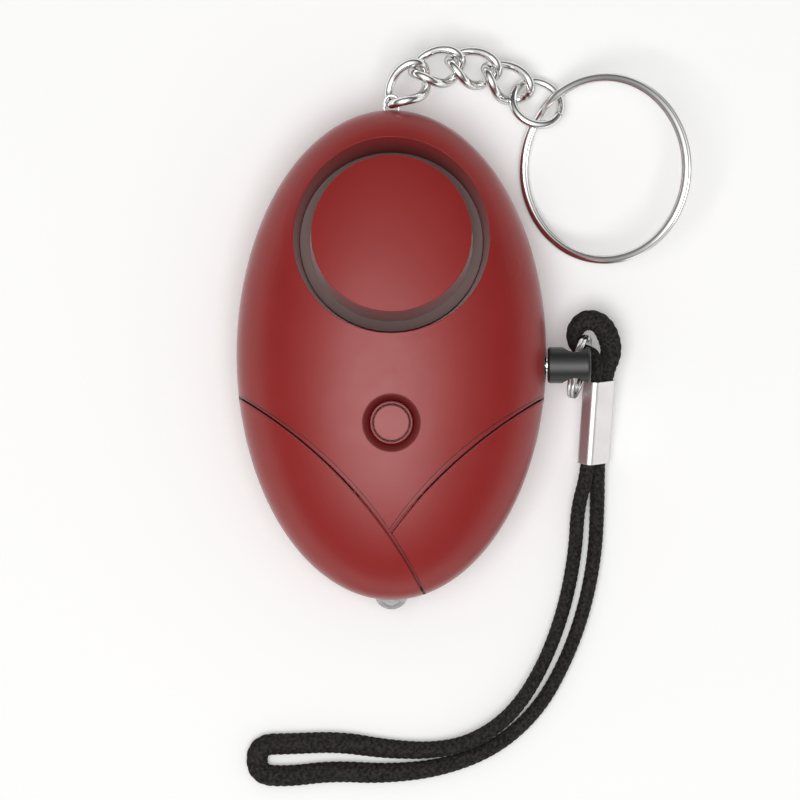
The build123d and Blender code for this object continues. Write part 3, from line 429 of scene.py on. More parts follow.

# %% [markdown]
# ## The cord's finish: black polyester yarn
# The cord is spun and braided from polyester that was dyed in the mass. It is close to black, with
# hardly any gloss. Its colour is painted paler on the yarns' backs as painted light, and darkest in the
# gaps as painted shade, where little light gets in. Single fibres are finer than the picture can show, so a
# noise of 0.12 mm stands for them.
# A second noise of 0.45 mm makes some spots greyer, as short tufts of loose fibre are.

# %% Black polyester yarn
fibre_size, tuft_size = 0.12 * MM, 0.45 * MM
polyester, tree, spot = new_material("Black_braided_polyester")
crown_for_painted_shade = add_node(tree, "ShaderNodeAttribute", attribute_name="crown").outputs["Fac"]
fibres = add_node(
    tree, "ShaderNodeTexNoise", {"Vector": spot, "Scale": 1 / fibre_size, "Detail": 3}
).outputs["Fac"]
shade = add_node(
    tree, "ShaderNodeMapRange", {"Value": crown_for_painted_shade, "From Min": 0.1, "From Max": 0.9}
).outputs["Result"]
# The colour follows the yarn's height: painted shade in the gaps, painted light on the yarns' backs.
blacks = {"Factor": shade, "A": linear("#020202"), "B": linear("#211f1e")}
yarn = add_node(tree, "ShaderNodeMix", blacks, data_type="RGBA").outputs["Result"]
tufts = add_node(
    tree, "ShaderNodeTexNoise", {"Vector": spot, "Scale": 1 / tuft_size, "Detail": 2}
).outputs["Fac"]
tufts = add_node(
    tree, "ShaderNodeMapRange", {"Value": tufts, "From Min": 0.4, "From Max": 0.66}
).outputs["Result"]
speck = add_node(
    tree, "ShaderNodeMix", {"Factor": tufts, "A": yarn, "B": linear("#35302f")}, data_type="RGBA"
).outputs["Result"]
relief = add_node(
    tree, "ShaderNodeBump", {"Height": fibres, "Strength": 0.7, "Distance": 0.05 * MM}
).outputs["Normal"]
cloth = add_node(
    tree,
    "ShaderNodeBsdfPrincipled",
    {
        "Base Color": speck,
        "Roughness": 0.7,
        "IOR": 1.5,
        "Specular IOR Level": 0.12,
        "Sheen Weight": 0.04,
        "Sheen Roughness": 0.4,
        "Normal": relief,
    },
)
add_node(tree, "ShaderNodeOutputMaterial", {"Surface": cloth.outputs["BSDF"]})
print("material", polyester.name, "with", len(tree.nodes), "nodes")

# %% [markdown]
# ## The finished cord
# The modifier gets its values by the sockets' identifiers before Blender looks at the object. The
# result is turned into a plain mesh. Its volume tells whether the faces point outwards.


# %% A helper that turns a node tree's result into a plain mesh
def plain_mesh(name, start, tree, values):
    """Run a tree of Geometry Nodes on a starting mesh, and return the result as a new object."""
    seed = bpy.data.objects.new(name + "_start", start)
    bpy.context.scene.collection.objects.link(seed)
    modifier = seed.modifiers.new("Shape", "NODES")
    modifier.node_group = tree
    for socket in tree.interface.items_tree:
        if socket.in_out == "INPUT" and socket.name in values:
            modifier[socket.identifier] = values[socket.name]
    bpy.context.view_layer.update()
    result = bpy.data.meshes.new_from_object(seed.evaluated_get(bpy.context.evaluated_depsgraph_get()))
    bpy.data.objects.remove(seed)
    result.name = name
    piece = bpy.data.objects.new(name, result)
    bpy.context.scene.collection.objects.link(piece)
    return piece


def signed_volume(mesh):
    """Volume inside a closed mesh, negative where the faces point inwards."""
    mesh.calc_loop_triangles()
    corners = np.empty(len(mesh.vertices) * 3)
    mesh.vertices.foreach_get("co", corners)
    index = np.empty(len(mesh.loop_triangles) * 3, dtype=np.int32)
    mesh.loop_triangles.foreach_get("vertices", index)
    a, b, c = corners.reshape(-1, 3)[index.reshape(-1, 3)].transpose(1, 0, 2)
    return float(np.einsum("ij,ij->i", a, np.cross(b, c)).sum() / 6)


# %% Make the cord and say what it is
cord = plain_mesh("braided_cord", cord_mesh, braid, {"Finish": polyester})
if signed_volume(cord.data) < 0:
    cord.data.flip_normals()
cord.data.shade_smooth()
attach(cord, "pin")
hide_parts("wrist_cord")
print("cord volume", round(signed_volume(cord.data) / MM**3), "cubic mm,", len(cord.data.polygons), "faces")

# %% [markdown]
# ## The white table
# A product like this is photographed on a white table that the picture shows as white as paper,
# with a soft shadow under the object. More light would bleach the object too, so the table gives
# off a little light of its own instead, and only to the camera and to reflections. The object could
# be cut out and laid on white afterwards, but then its shadow and its reflections would be lost.

# %% White table
camera_glow, mirror_glow = 0.12, 0.25
table_paint = bpy.data.materials.new("White_table_laminate")
table_paint.use_nodes = True
tree = table_paint.node_tree
tree.nodes.clear()
rays = add_node(tree, "ShaderNodeLightPath").outputs
seen = add_node(
    tree, "ShaderNodeMath", {0: rays["Is Camera Ray"], 1: rays["Is Transmission Ray"]}, operation="MAXIMUM"
).outputs[0]
seen = add_node(tree, "ShaderNodeMath", {0: seen, 1: camera_glow}, operation="MULTIPLY").outputs[0]
glow = add_node(
    tree, "ShaderNodeMath", {0: rays["Is Glossy Ray"], 1: mirror_glow, 2: seen}, operation="MULTIPLY_ADD"
).outputs[0]
matt = add_node(
    tree,
    "ShaderNodeBsdfPrincipled",
    {
        "Base Color": linear("#f7f7f6"),
        "Roughness": 0.9,
        "Specular IOR Level": 0.0,
        "Emission Color": linear("#ffffff"),
        "Emission Strength": glow,
    },
)
add_node(tree, "ShaderNodeOutputMaterial", {"Surface": matt.outputs["BSDF"]})

table_half = 3.0
table_level = -0.02 * MM
table_mesh = bpy.data.meshes.new("table_top")
corners = [(x * table_half, y * table_half, table_level) for x, y in ((-1, -1), (1, -1), (1, 1), (-1, 1))]
table_mesh.from_pydata(corners, [], [(0, 1, 2, 3)])
table_mesh.materials.append(table_paint)
table_top = bpy.data.objects.new("table_top", table_mesh)
bpy.context.scene.collection.objects.link(table_top)
print("table", 2 * table_half, "m wide")

# %% [markdown]
# ## The soft box and the room
# One large soft light stands nearly above the table and leans a little toward the lower end of the
# case, because that is where the broad highlight of the red plastic lies. The rest is the room,
# which the world stands for. To matt surfaces it is an even grey that fills the shadows. To glossy
# ones it is pale low down and overhead and dark between, so that polished metal has something dark
# to reflect, and it is brighter toward the lower left, like a wall with a window. The camera, also
# where it looks through the clear lamp, sees it as plain white.

# %% The soft box
box_width, box_height, box_power = 0.66, 0.60, 5.0
box_distance = 0.9
box_lean, box_aside = math.radians(11), math.radians(4)
soft_box = bpy.data.lights.new("Soft_box", "AREA")
soft_box.shape = "RECTANGLE"
soft_box.size = box_width
soft_box.size_y = box_height
soft_box.energy = box_power
box_place = bpy.data.objects.new("Soft_box", soft_box)
box_place.location = (
    -box_distance * math.sin(box_aside),
    -box_distance * math.sin(box_lean),
    box_distance * math.cos(box_lean),
)
box_place.rotation_euler = box_place.location.to_track_quat("Z", "Y").to_euler()
bpy.context.scene.collection.objects.link(box_place)
print("soft box", box_width, "x", box_height, "m,", box_power, "W")

# %% The room
window_way = (-0.4, -0.9, 0)
wall_shades = ((0.14, "#e6e6e6"), (0.26, "#686868"), (0.50, "#565656"), (0.70, "#a0a0a0"), (0.86, "#e0e0e0"))
dim_side, window_side, fill = 0.8, 2.2, 0.40
room = bpy.data.worlds.new("Pale_room")
room.use_nodes = True
bpy.context.scene.world = room
tree = room.node_tree
tree.nodes.clear()
rays = add_node(tree, "ShaderNodeLightPath").outputs
gaze = add_node(tree, "ShaderNodeTexCoord").outputs["Generated"]
rise = add_node(tree, "ShaderNodeSeparateXYZ", {"Vector": gaze}).outputs["Z"]
walls = add_node(tree, "ShaderNodeValToRGB", {"Fac": rise})
stops = walls.color_ramp.elements
stops[0].position, stops[0].color = 0.0, linear("#ffffff")
stops[1].position, stops[1].color = 1.0, linear("#ffffff")
for position, shade in wall_shades:
    stops.new(position).color = linear(shade)
toward = add_node(
    tree, "ShaderNodeVectorMath", {0: gaze, 1: window_way}, operation="DOT_PRODUCT"
).outputs["Value"]
window = add_node(
    tree,
    "ShaderNodeMapRange",
    {"Value": toward, "From Min": -1, "To Min": dim_side, "To Max": window_side},
).outputs["Result"]
mirrored = add_node(tree, "ShaderNodeBackground", {"Color": walls.outputs["Color"], "Strength": window})
even = add_node(tree, "ShaderNodeBackground", {"Color": linear("#ffffff"), "Strength": fill})
white = add_node(tree, "ShaderNodeBackground", {"Color": linear("#ffffff"), "Strength": 1.0})
soft = add_node(
    tree, "ShaderNodeMixShader", {0: rays["Is Glossy Ray"], 1: even.outputs[0], 2: mirrored.outputs[0]}
)
clear = add_node(
    tree, "ShaderNodeMath", {0: rays["Is Camera Ray"], 1: rays["Is Transmission Ray"]}, operation="MAXIMUM"
).outputs[0]
surround = add_node(tree, "ShaderNodeMixShader", {0: clear, 1: soft.outputs[0], 2: white.outputs[0]})
add_node(tree, "ShaderNodeOutputWorld", {"Surface": surround.outputs[0]})
print("room with", len(stops), "shades from low to high")

# %% [markdown]
# ## Moulded plastics
# Most parts of the alarm are injection moulded. The case is ABS, a tough plastic that takes the
# finish of its mould exactly: here a fine satin, which spreads a highlight softly. A plastic is a
# coloured base under a clear surface with an IOR near 1.5, so one recipe serves all of them. It
# changes the colour, the roughness and the grain. The grain of a spark-eroded mould is about
# 0.1 mm, which the picture can just not show, so the bump is drawn at that size but very low. A
# wide, faint change in roughness stands for handling. The edges of real mouldings are rounded by a
# fifth of a millimetre, which a Bevel node shades without a change of shape. A weak sheen gives the
# case the pale haze that its satin has where it is seen at a flat angle.

# %% Sizes that all the plastics share
tint_patch, handled_patch = 9 * MM, 4 * MM
handling = 0.06
moulded_round = 0.2 * MM
# The fine scores are painted at this share of the plastic's colour, as painted shade.
score_depth, painted_score_shade = 0.04 * MM, 0.12
print("moulded edges are shaded with a round of", moulded_round / MM, "mm")


# %% Recipe for a moulded plastic
def moulded_plastic(name, colour, roughness, grain, depth, sheen=0.0, scores=None):
    """Even colour, fine mould grain and a handled surface, with scored lines in painted shade where scores
    adds them.
    """
    material, tree, spot = new_material(name)
    tint = add_node(
        tree, "ShaderNodeTexNoise", {"Vector": spot, "Scale": 1 / tint_patch, "Detail": 2}
    ).outputs["Fac"]
    paler = [v * 1.12 + 0.002 for v in linear(colour)[:3]] + [1]
    base = add_node(
        tree, "ShaderNodeMix", {"Factor": tint, "A": linear(colour), "B": paler}, data_type="RGBA"
    ).outputs["Result"]
    handled = add_node(
        tree, "ShaderNodeTexNoise", {"Vector": spot, "Scale": 1 / handled_patch, "Detail": 4}
    ).outputs["Fac"]
    gloss = add_node(
        tree,
        "ShaderNodeMapRange",
        {"Value": handled, "To Min": roughness - handling, "To Max": roughness + handling},
    ).outputs["Result"]
    mould = add_node(
        tree, "ShaderNodeTexNoise", {"Vector": spot, "Scale": 1 / grain, "Detail": 2}
    ).outputs["Fac"]
    edge = add_node(tree, "ShaderNodeBevel", {"Radius": moulded_round}, samples=6).outputs["Normal"]
    relief = add_node(
        tree, "ShaderNodeBump", {"Height": mould, "Strength": 0.4, "Distance": depth, "Normal": edge}
    ).outputs["Normal"]
    if scores:
        cut = scores(tree, spot)
        # The score lines are painted darker, as shade in a fine channel.
        painted_score_colour = [v * painted_score_shade for v in linear(colour)[:3]] + [1]
        base = add_node(
            tree, "ShaderNodeMix", {"Factor": cut, "A": base, "B": painted_score_colour}, data_type="RGBA"
        ).outputs["Result"]
        relief = add_node(
            tree,
            "ShaderNodeBump",
            {"Height": cut, "Strength": 0.5, "Distance": score_depth, "Normal": relief},
            invert=True,
        ).outputs["Normal"]
    surface = add_node(
        tree,
        "ShaderNodeBsdfPrincipled",
        {
            "Base Color": base,
            "Roughness": gloss,
            "IOR": 1.5,
            "Sheen Weight": sheen,
            "Sheen Roughness": 0.35,
            "Normal": relief,
        },
    )
    add_node(tree, "ShaderNodeOutputMaterial", {"Surface": surface.outputs["BSDF"]})
    return material


# %% [markdown]
# ## The lines on the front
# On the lower front two channels meet in a Y. Each has a deep line on its lower side and a fine one
# on its upper side, half a millimetre apart. The deep line is a real groove in the solid part. The
# fine one is thinner than the solid part can carry, so the finish of the front shell draws it as
# painted shade: a dark hair, with a low bump, wherever a point is close to a circle in plan. A circle
# is enough, because the real lines are arcs too. Each fine line ends where it meets the other channel.

# %% The front dome, and the arcs on it, in mm in plan
half_width, half_length = 22.15, 35.0
dome_rise, parting_height = 12.0, 9.0
long_groove = [(-21.93, -6.02), (-8.86, -15.82), (4.74, -34.12)]
short_groove = [(21.93, -6.12), (8.53, -15.82), (-0.09, -25.34)]
long_fine = [(-16.31, -8.95), (-4.47, -19.44), (4.15, -32.66)]
short_fine = [(17.54, -8.0), (8.05, -15.16), (0.23, -24.1)]
short_deep = [(20.37, -6.95), (10.59, -13.55), (0.66, -24.43)]
hair_core, hair_edge, hair_strength = 0.045 * MM, 0.1 * MM, 0.95


def circle_through(places):
    """Centre and radius of the circle through three places."""
    a, b, c = np.array(places)
    centre = np.linalg.solve(2 * np.array([b - a, c - a]), np.array([b @ b - a @ a, c @ c - a @ a]))
    return centre, np.linalg.norm(a - centre)


print("long groove: centre and radius in mm", circle_through(long_groove))


# %% Nodes that draw the fine lines
def fine_lines(tree, spot):
    """Nodes that are near 1 on the two fine lines and 0 elsewhere."""
    plan = add_node(
        tree, "ShaderNodeVectorMath", {0: spot, 1: (1, 1, 0)}, operation="MULTIPLY"
    ).outputs["Vector"]
    offsets = []
    for places in (long_fine, short_fine, short_deep):
        centre, radius = circle_through(places)
        middle = (centre[0] * MM, centre[1] * MM, 0)
        away = add_node(
            tree, "ShaderNodeVectorMath", {0: plan, 1: middle}, operation="DISTANCE"
        ).outputs["Value"]
        offset = add_node(tree, "ShaderNodeMath", {0: away, 1: radius * MM}, operation="SUBTRACT")
        offsets.append(offset.outputs[0])
    beyond_long, beyond_short, beyond_deep = offsets
    hairs = []
    for offset in (beyond_long, beyond_short):
        close = add_node(tree, "ShaderNodeMath", {0: offset}, operation="ABSOLUTE").outputs[0]
        hair = add_node(
            tree,
            "ShaderNodeMapRange",
            {"Value": close, "From Min": hair_core, "From Max": hair_edge, "To Min": 1.0, "To Max": 0.0},
        )
        hairs.append(hair.outputs["Result"])
    long_hair, short_hair = hairs
    # The short line stops at the long one, and the long one leaves out the short channel.
    above = add_node(tree, "ShaderNodeMath", {0: beyond_long, 1: 0.0}, operation="GREATER_THAN").outputs[0]
    short_line = add_node(tree, "ShaderNodeMath", {0: short_hair, 1: above}, operation="MULTIPLY").outputs[0]
    under = add_node(tree, "ShaderNodeMath", {0: beyond_short, 1: 0.0}, operation="GREATER_THAN").outputs[0]
    over = add_node(tree, "ShaderNodeMath", {0: beyond_deep, 1: 0.0}, operation="LESS_THAN").outputs[0]
    shown = add_node(tree, "ShaderNodeMath", {0: under, 1: over}, operation="MAXIMUM").outputs[0]
    long_line = add_node(tree, "ShaderNodeMath", {0: long_hair, 1: shown}, operation="MULTIPLY").outputs[0]
    both = add_node(tree, "ShaderNodeMath", {0: long_line, 1: short_line}, operation="MAXIMUM").outputs[0]
    return add_node(tree, "ShaderNodeMath", {0: both, 1: hair_strength}, operation="MULTIPLY").outputs[0]


# %% [markdown]
# ## The plastics of this alarm
# The case, the siren's cap and the button are one satin red. The slope round the button is rougher
# and duller, and its darker red is painted shade. The slits of the grooves are painted nearly black,
# as painted shade. The inner parts are plain black or white mouldings, and the seal under the siren
# is a black foam with cells of a quarter of a millimetre.

# %% Make the plastics
satin = dict(colour=case_colour, roughness=0.38, grain=0.12 * MM, depth=0.0015 * MM, sheen=0.3)
case_red = moulded_plastic("Red_ABS_satin_moulded", **satin)
scored_red = moulded_plastic("Red_ABS_satin_moulded_with_fine_lines", **satin, scores=fine_lines)
# The dish's red is darker than the case's as painted shade of its recess, and it is also rougher.
dish_red_painted_shade = moulded_plastic("Red_ABS_rougher_with_painted_shade", "#610b09", 0.52, 0.2 * MM, 0.004 * MM)
# A red painted nearly black, as the shade inside the grooves' slits.
slit_red_painted_shade = moulded_plastic("Red_ABS_painted_shade_in_the_slit", "#230504", 0.7, 0.2 * MM, 0.004 * MM)
ring_grey = moulded_plastic("Grey_brown_ABS_matt_moulded", "#75615d", 0.55, 0.12 * MM, 0.002 * MM)
head_grey = moulded_plastic("Dark_grey_nylon_moulded", "#1b1c1c", 0.38, 0.15 * MM, 0.0015 * MM)
inner_black = moulded_plastic("Black_ABS_moulded", "#151516", 0.45, 0.15 * MM, 0.002 * MM)
stem_white = moulded_plastic("White_POM_moulded", "#e4e2da", 0.35, 0.2 * MM, 0.001 * MM)
gasket_black = moulded_plastic("Black_EPDM_foam", "#1b1b1b", 0.85, 0.25 * MM, 0.03 * MM)
reds = (case_red, scored_red, dish_red_painted_shade, slit_red_painted_shade)
other_plastics = (ring_grey, head_grey, inner_black, stem_white, gasket_black)
print("plastics:", [material.name for material in reds + other_plastics])

# %% [markdown]
# ## Metals
# A metal has no colour under its surface: its colour is that of what it reflects, tinted by the
# metal. What tells one from another is the tint and how the surface was made. The chain and the
# rings are steel wire with a bright nickel plate, tumbled until they shine. The split rings are
# wound from flat wire, which keeps a trace of the rollers, so they mirror a little less sharply.
# The sleeve on the cord is pressed from aluminium sheet, with faint draw lines along it. A metal
# keeps the shader's default IOR. A grey specular tint darkens what is seen at a flat angle, which
# gives a wire its dark outlines. Low, stretched noise draws the marks of the making, and a Bevel
# node rounds the edges in shade.

# %% Sizes that all the metals share
haze_patch, haze_spread = 2.5 * MM, 0.05
dull_share = 0.86
edge_tint = "#8c8c8c"
sheet_round, flat_wire_round, rolled_wire_round = 0.1 * MM, 0.25 * MM, 0.01 * MM
print("metal edges are shaded with a round of", sheet_round / MM, "mm")


# %% Recipe for a metal
def metal(name, colour, roughness, mark, depth, stretch=(1, 1, 1), turn=(0, 0, 0), rolled=sheet_round):
    """Tint, how sharply it mirrors, and the marks its making left, stretched along one way."""
    material, tree, spot = new_material(name)
    laid = add_node(
        tree, "ShaderNodeMapping", {"Vector": spot, "Rotation": turn, "Scale": stretch}
    ).outputs["Vector"]
    marks = add_node(
        tree, "ShaderNodeTexNoise", {"Vector": laid, "Scale": 1 / mark, "Detail": 3}
    ).outputs["Fac"]
    haze = add_node(
        tree, "ShaderNodeTexNoise", {"Vector": spot, "Scale": 1 / haze_patch, "Detail": 3}
    ).outputs["Fac"]
    gloss = add_node(
        tree,
        "ShaderNodeMapRange",
        {"Value": haze, "To Min": roughness - haze_spread, "To Max": roughness + haze_spread},
    ).outputs["Result"]
    duller = [v * dull_share for v in linear(colour)[:3]] + [1]
    tint = add_node(
        tree, "ShaderNodeMix", {"Factor": haze, "A": linear(colour), "B": duller}, data_type="RGBA"
    ).outputs["Result"]
    edge = add_node(tree, "ShaderNodeBevel", {"Radius": rolled}, samples=8).outputs["Normal"]
    relief = add_node(
        tree, "ShaderNodeBump", {"Height": marks, "Strength": 0.4, "Distance": depth, "Normal": edge}
    ).outputs["Normal"]
    surface = add_node(
        tree,
        "ShaderNodeBsdfPrincipled",
        {
            "Base Color": tint,
            "Metallic": 1.0,
            "Roughness": gloss,
            "Specular Tint": linear(edge_tint),
            "Normal": relief,
        },
    )
    add_node(tree, "ShaderNodeOutputMaterial", {"Surface": surface.outputs["BSDF"]})
    return material


# %% The metals of this alarm
along_sleeve = (0, 0, math.atan2(sleeve_way.x, sleeve_way.y))
plate = dict(colour="#ededeb", mark=0.2 * MM, depth=0.002 * MM)
bright_nickel = metal("Bright_nickel_plate_tumbled", roughness=0.11, **plate)
flat_wire = metal("Bright_nickel_plate_on_flat_wire", roughness=0.13, rolled=flat_wire_round, **plate)
rolled_wire = metal("Bright_nickel_plate_on_rolled_wire", roughness=0.17, rolled=rolled_wire_round, **plate)
pressed_sheet = metal(
    "Aluminium_sheet_pressed", "#f1eded", 0.42, 0.08 * MM, 0.002 * MM, (1, 0.04, 1), along_sleeve
)
steel_zinc = metal("Steel_zinc_plated", "#b9bcbe", 0.28, 0.15 * MM, 0.003 * MM)
brass = metal("Brass_sheet_rolled", "#d9b25c", 0.22, 0.1 * MM, 0.002 * MM, (1, 0.1, 1))
copper = metal("Copper_wire_enamelled", "#c9713f", 0.25, 0.1 * MM, 0.002 * MM)
sleeve_grey = metal("Anodised_aluminium_satin", "#a9abad", 0.36, 0.1 * MM, 0.002 * MM)
nickels = (bright_nickel, flat_wire, rolled_wire)
other_metals = (pressed_sheet, steel_zinc, brass, copper, sleeve_grey)
print("metals:", [material.name for material in nickels + other_metals])

# %% [markdown]
# ## Clear epoxy, board laminate and ceramic
# The lamp is cast in clear epoxy, a little grey. Light goes through it and bends, so it takes a
# transmission of 1 and the IOR of epoxy, 1.53. The board is glass cloth in resin under a green
# lacquer: the cloth's threads, 0.5 mm apart, press through as a faint square relief. The ceramic
# wafer of the sounder is fired and silvered, matt and almost white. It is as even as a moulding, so
# the recipe for plastics serves it too.

# %% Lamp epoxy
ripple_size = 1.5 * MM
lamp_clear, tree, spot = new_material("Clear_epoxy_cast")
ripple = add_node(
    tree, "ShaderNodeTexNoise", {"Vector": spot, "Scale": 1 / ripple_size, "Detail": 1}
).outputs["Fac"]
relief = add_node(
    tree, "ShaderNodeBump", {"Height": ripple, "Strength": 0.2, "Distance": 0.01 * MM}
).outputs["Normal"]
epoxy = add_node(
    tree,
    "ShaderNodeBsdfPrincipled",
    {
        "Base Color": linear("#c4c8cb"),
        "Roughness": 0.03,
        "IOR": 1.53,
        "Transmission Weight": 1.0,
        "Normal": relief,
    },
)
add_node(tree, "ShaderNodeOutputMaterial", {"Surface": epoxy.outputs["BSDF"]})
print("material", lamp_clear.name)

# %% Board laminate and ceramic
thread_pitch = 0.5 * MM
board_green, tree, spot = new_material("Glass_laminate_green_lacquer")
threads = add_node(
    tree, "ShaderNodeTexVoronoi", {"Vector": spot, "Scale": 1 / thread_pitch, "Randomness": 0.0}
).outputs["Distance"]
relief = add_node(
    tree, "ShaderNodeBump", {"Height": threads, "Strength": 0.3, "Distance": 0.01 * MM}
).outputs["Normal"]
greens = {"Factor": threads, "A": linear("#14572e"), "B": linear("#0d3f22")}
lacquer = add_node(tree, "ShaderNodeMix", greens, data_type="RGBA")
board = add_node(
    tree,
    "ShaderNodeBsdfPrincipled",
    {"Base Color": lacquer.outputs["Result"], "Roughness": 0.3, "IOR": 1.5, "Normal": relief},
)
add_node(tree, "ShaderNodeOutputMaterial", {"Surface": board.outputs["BSDF"]})
ceramic = moulded_plastic("Silvered_ceramic_fired", "#d8d6cf", 0.5, 0.3 * MM, 0.004 * MM)
print("materials", board_green.name, "and", ceramic.name)

# %% [markdown]
# ## Every solid part gets its finish
# The CAD parts keep their meshes, and only the slots of their objects change. A list of parts for
# each finish is shorter than one line for each part, and a part that it forgets is printed as bare.

# %% Finish of each solid part
parts_by_finish = (
    (scored_red, ["front_shell"]),
    (case_red, ["back_shell", "siren_cap", "button_cap"]),
    (ring_grey, ["siren_ring"]),
    (head_grey, ["pin_head"]),
    (gasket_black, ["gasket_ring"]),
    (inner_black, ["resonator_cup", "driver_chip", "transistor", "tact_switch", "boost_coil"]),
    (stem_white, ["switch_plunger"]),
    (ceramic, ["piezo_ceramic"]),
    (board_green, ["circuit_board"]),
    (lamp_clear, ["led_lamp"]),
    (copper, ["piezo_wires"]),
    (brass, ["piezo_disc", "pin_contact_blades"]),
    (sleeve_grey, ["capacitor"]),
    (steel_zinc, ["battery_cell_1", "battery_cell_2", "battery_cell_3", "led_leads", "case_screws"]),
    (bright_nickel, ["battery_contact_plus", "battery_contact_minus", "pin_sleeve", "pull_pin"]),
    (bright_nickel, ["keychain_eyelet", "jump_ring"]),
    (bright_nickel, [f"chain_link_{number}" for number in (1, 2, 3, 4)]),
    (flat_wire, ["pin_ring", "key_ring"]),
    (pressed_sheet, ["cord_ferrule"]),
)
finishes = {part: finish for finish, parts in parts_by_finish for part in parts}
for name, finish in finishes.items():
    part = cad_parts[name]
    if not part.material_slots:
        part.data.materials.append(None)
    for slot in part.material_slots:
        slot.link = "OBJECT"
        slot.material = finish
bare = [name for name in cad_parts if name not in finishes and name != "wrist_cord"]
print(len(finishes), "parts finished, left bare:", bare)

# %% [markdown]
# ## The dish round the button
# Round the button the case dips in a small dish, like the mouth of a funnel. Its slope turns away
# from the soft box above, and its red is darker as painted shade, so it stays deep red where
# everything round it shines. The solid part has a flat step there, and this piece is the slope that
# fills it. It could be cut from the shell with a cone, but a ring of profiles round the button's axis
# is simpler and follows the dome: each profile starts at the edge on the dome and falls to the collar, a
# little faster toward its foot.

# %% The dome, as a formula
button_y = -9.66


def on_dome(x, y):
    """Height in mm of the front dome over a place in plan."""
    return parting_height + dome_rise * np.sqrt(1 - (x / half_width) ** 2 - (y / half_length) ** 2)


def dome_normal(x, y):
    """Unit normal of the front dome over a place in plan."""
    rise = on_dome(x, y) - parting_height
    steep = np.stack([x * dome_rise**2 / half_width**2, y * dome_rise**2 / half_length**2, rise], axis=-1)
    return steep / np.linalg.norm(steep, axis=-1, keepdims=True)


print("dome over the button", round(float(on_dome(0.0, button_y)), 2), "mm")


# %% A helper that skins a grid of points
def skinned(name, grid, closed_path, finish, body):
    """Join rows of points, each a closed ring, into a closed piece that rides on a body."""
    rows, across = grid.shape[:2]
    faces = []
    for row in range(rows if closed_path else rows - 1):
        this, after = row * across, (row + 1) % rows * across
        for place in range(across):
            beside = (place + 1) % across
            faces.append((this + place, this + beside, after + beside, after + place))
    if not closed_path:
        faces.append(tuple(range(across))[::-1])
        faces.append(tuple((rows - 1) * across + place for place in range(across)))
    mesh = bpy.data.meshes.new(name)
    mesh.from_pydata((grid.reshape(-1, 3) * MM).tolist(), [], faces)
    if signed_volume(mesh) < 0:
        mesh.flip_normals()
    mesh.materials.append(finish)
    piece = bpy.data.objects.new(name, mesh)
    bpy.context.scene.collection.objects.link(piece)
    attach(piece, body)
    print(name, round(signed_volume(mesh) / MM**3, 3), "cubic mm,", len(mesh.polygons), "faces")
    return piece


# %% The dish, in mm
dish_outer, dish_inner, dish_depth = 4.12, 3.01, 0.985
under_dome, over_floor = 0.015, 0.02
even_part, late_part = 0.8, 0.2
dish_sides, slope_points = 144, 9
button_normal = dome_normal(np.array(0.0), np.array(button_y))
button_top = np.array([0.0, button_y, on_dome(0.0, button_y)])
button_up = np.cross(button_normal, (1, 0, 0))
rings = []
for turn in np.linspace(0, math.tau, dish_sides, endpoint=False):
    out = np.array([1.0, 0, 0]) * math.cos(turn) + button_up * math.sin(turn)
    edge = button_top + out * dish_outer
    edge[2] = on_dome(edge[0], edge[1]) - under_dome
    sunk = float(np.dot(edge - button_top, button_normal))
    profile = []
    for share in np.linspace(0, 1, slope_points):
        radius = dish_outer + (dish_inner - dish_outer) * share
        slope = even_part * share + late_part * share**3
        fall = sunk + (-dish_depth + over_floor - sunk) * slope
        profile.append(button_top + out * radius + button_normal * fall)
    profile.append(button_top + out * dish_inner - button_normal * dish_depth)
    profile.append(button_top + out * dish_outer - button_normal * dish_depth)
    rings.append(profile)
# The dish takes the darker red of painted shade.
skinned("button_dish", np.array(rings), True, dish_red_painted_shade, "alarm")

# %% [markdown]
# ## Narrower grooves
# The deep line of each channel is a sharp slit, a quarter of a millimetre wide. The groove of the
# solid part is wider, so that it can be made and checked. A lining with a slit along it, laid in the
# groove, gives the narrow line and leaves the solid part as it is. The lining is one profile carried
# along the arc. The slit wanders a little across it, as the line on the real case does. Its walls and
# floor are painted nearly black, as painted shade deep in the narrow slit.

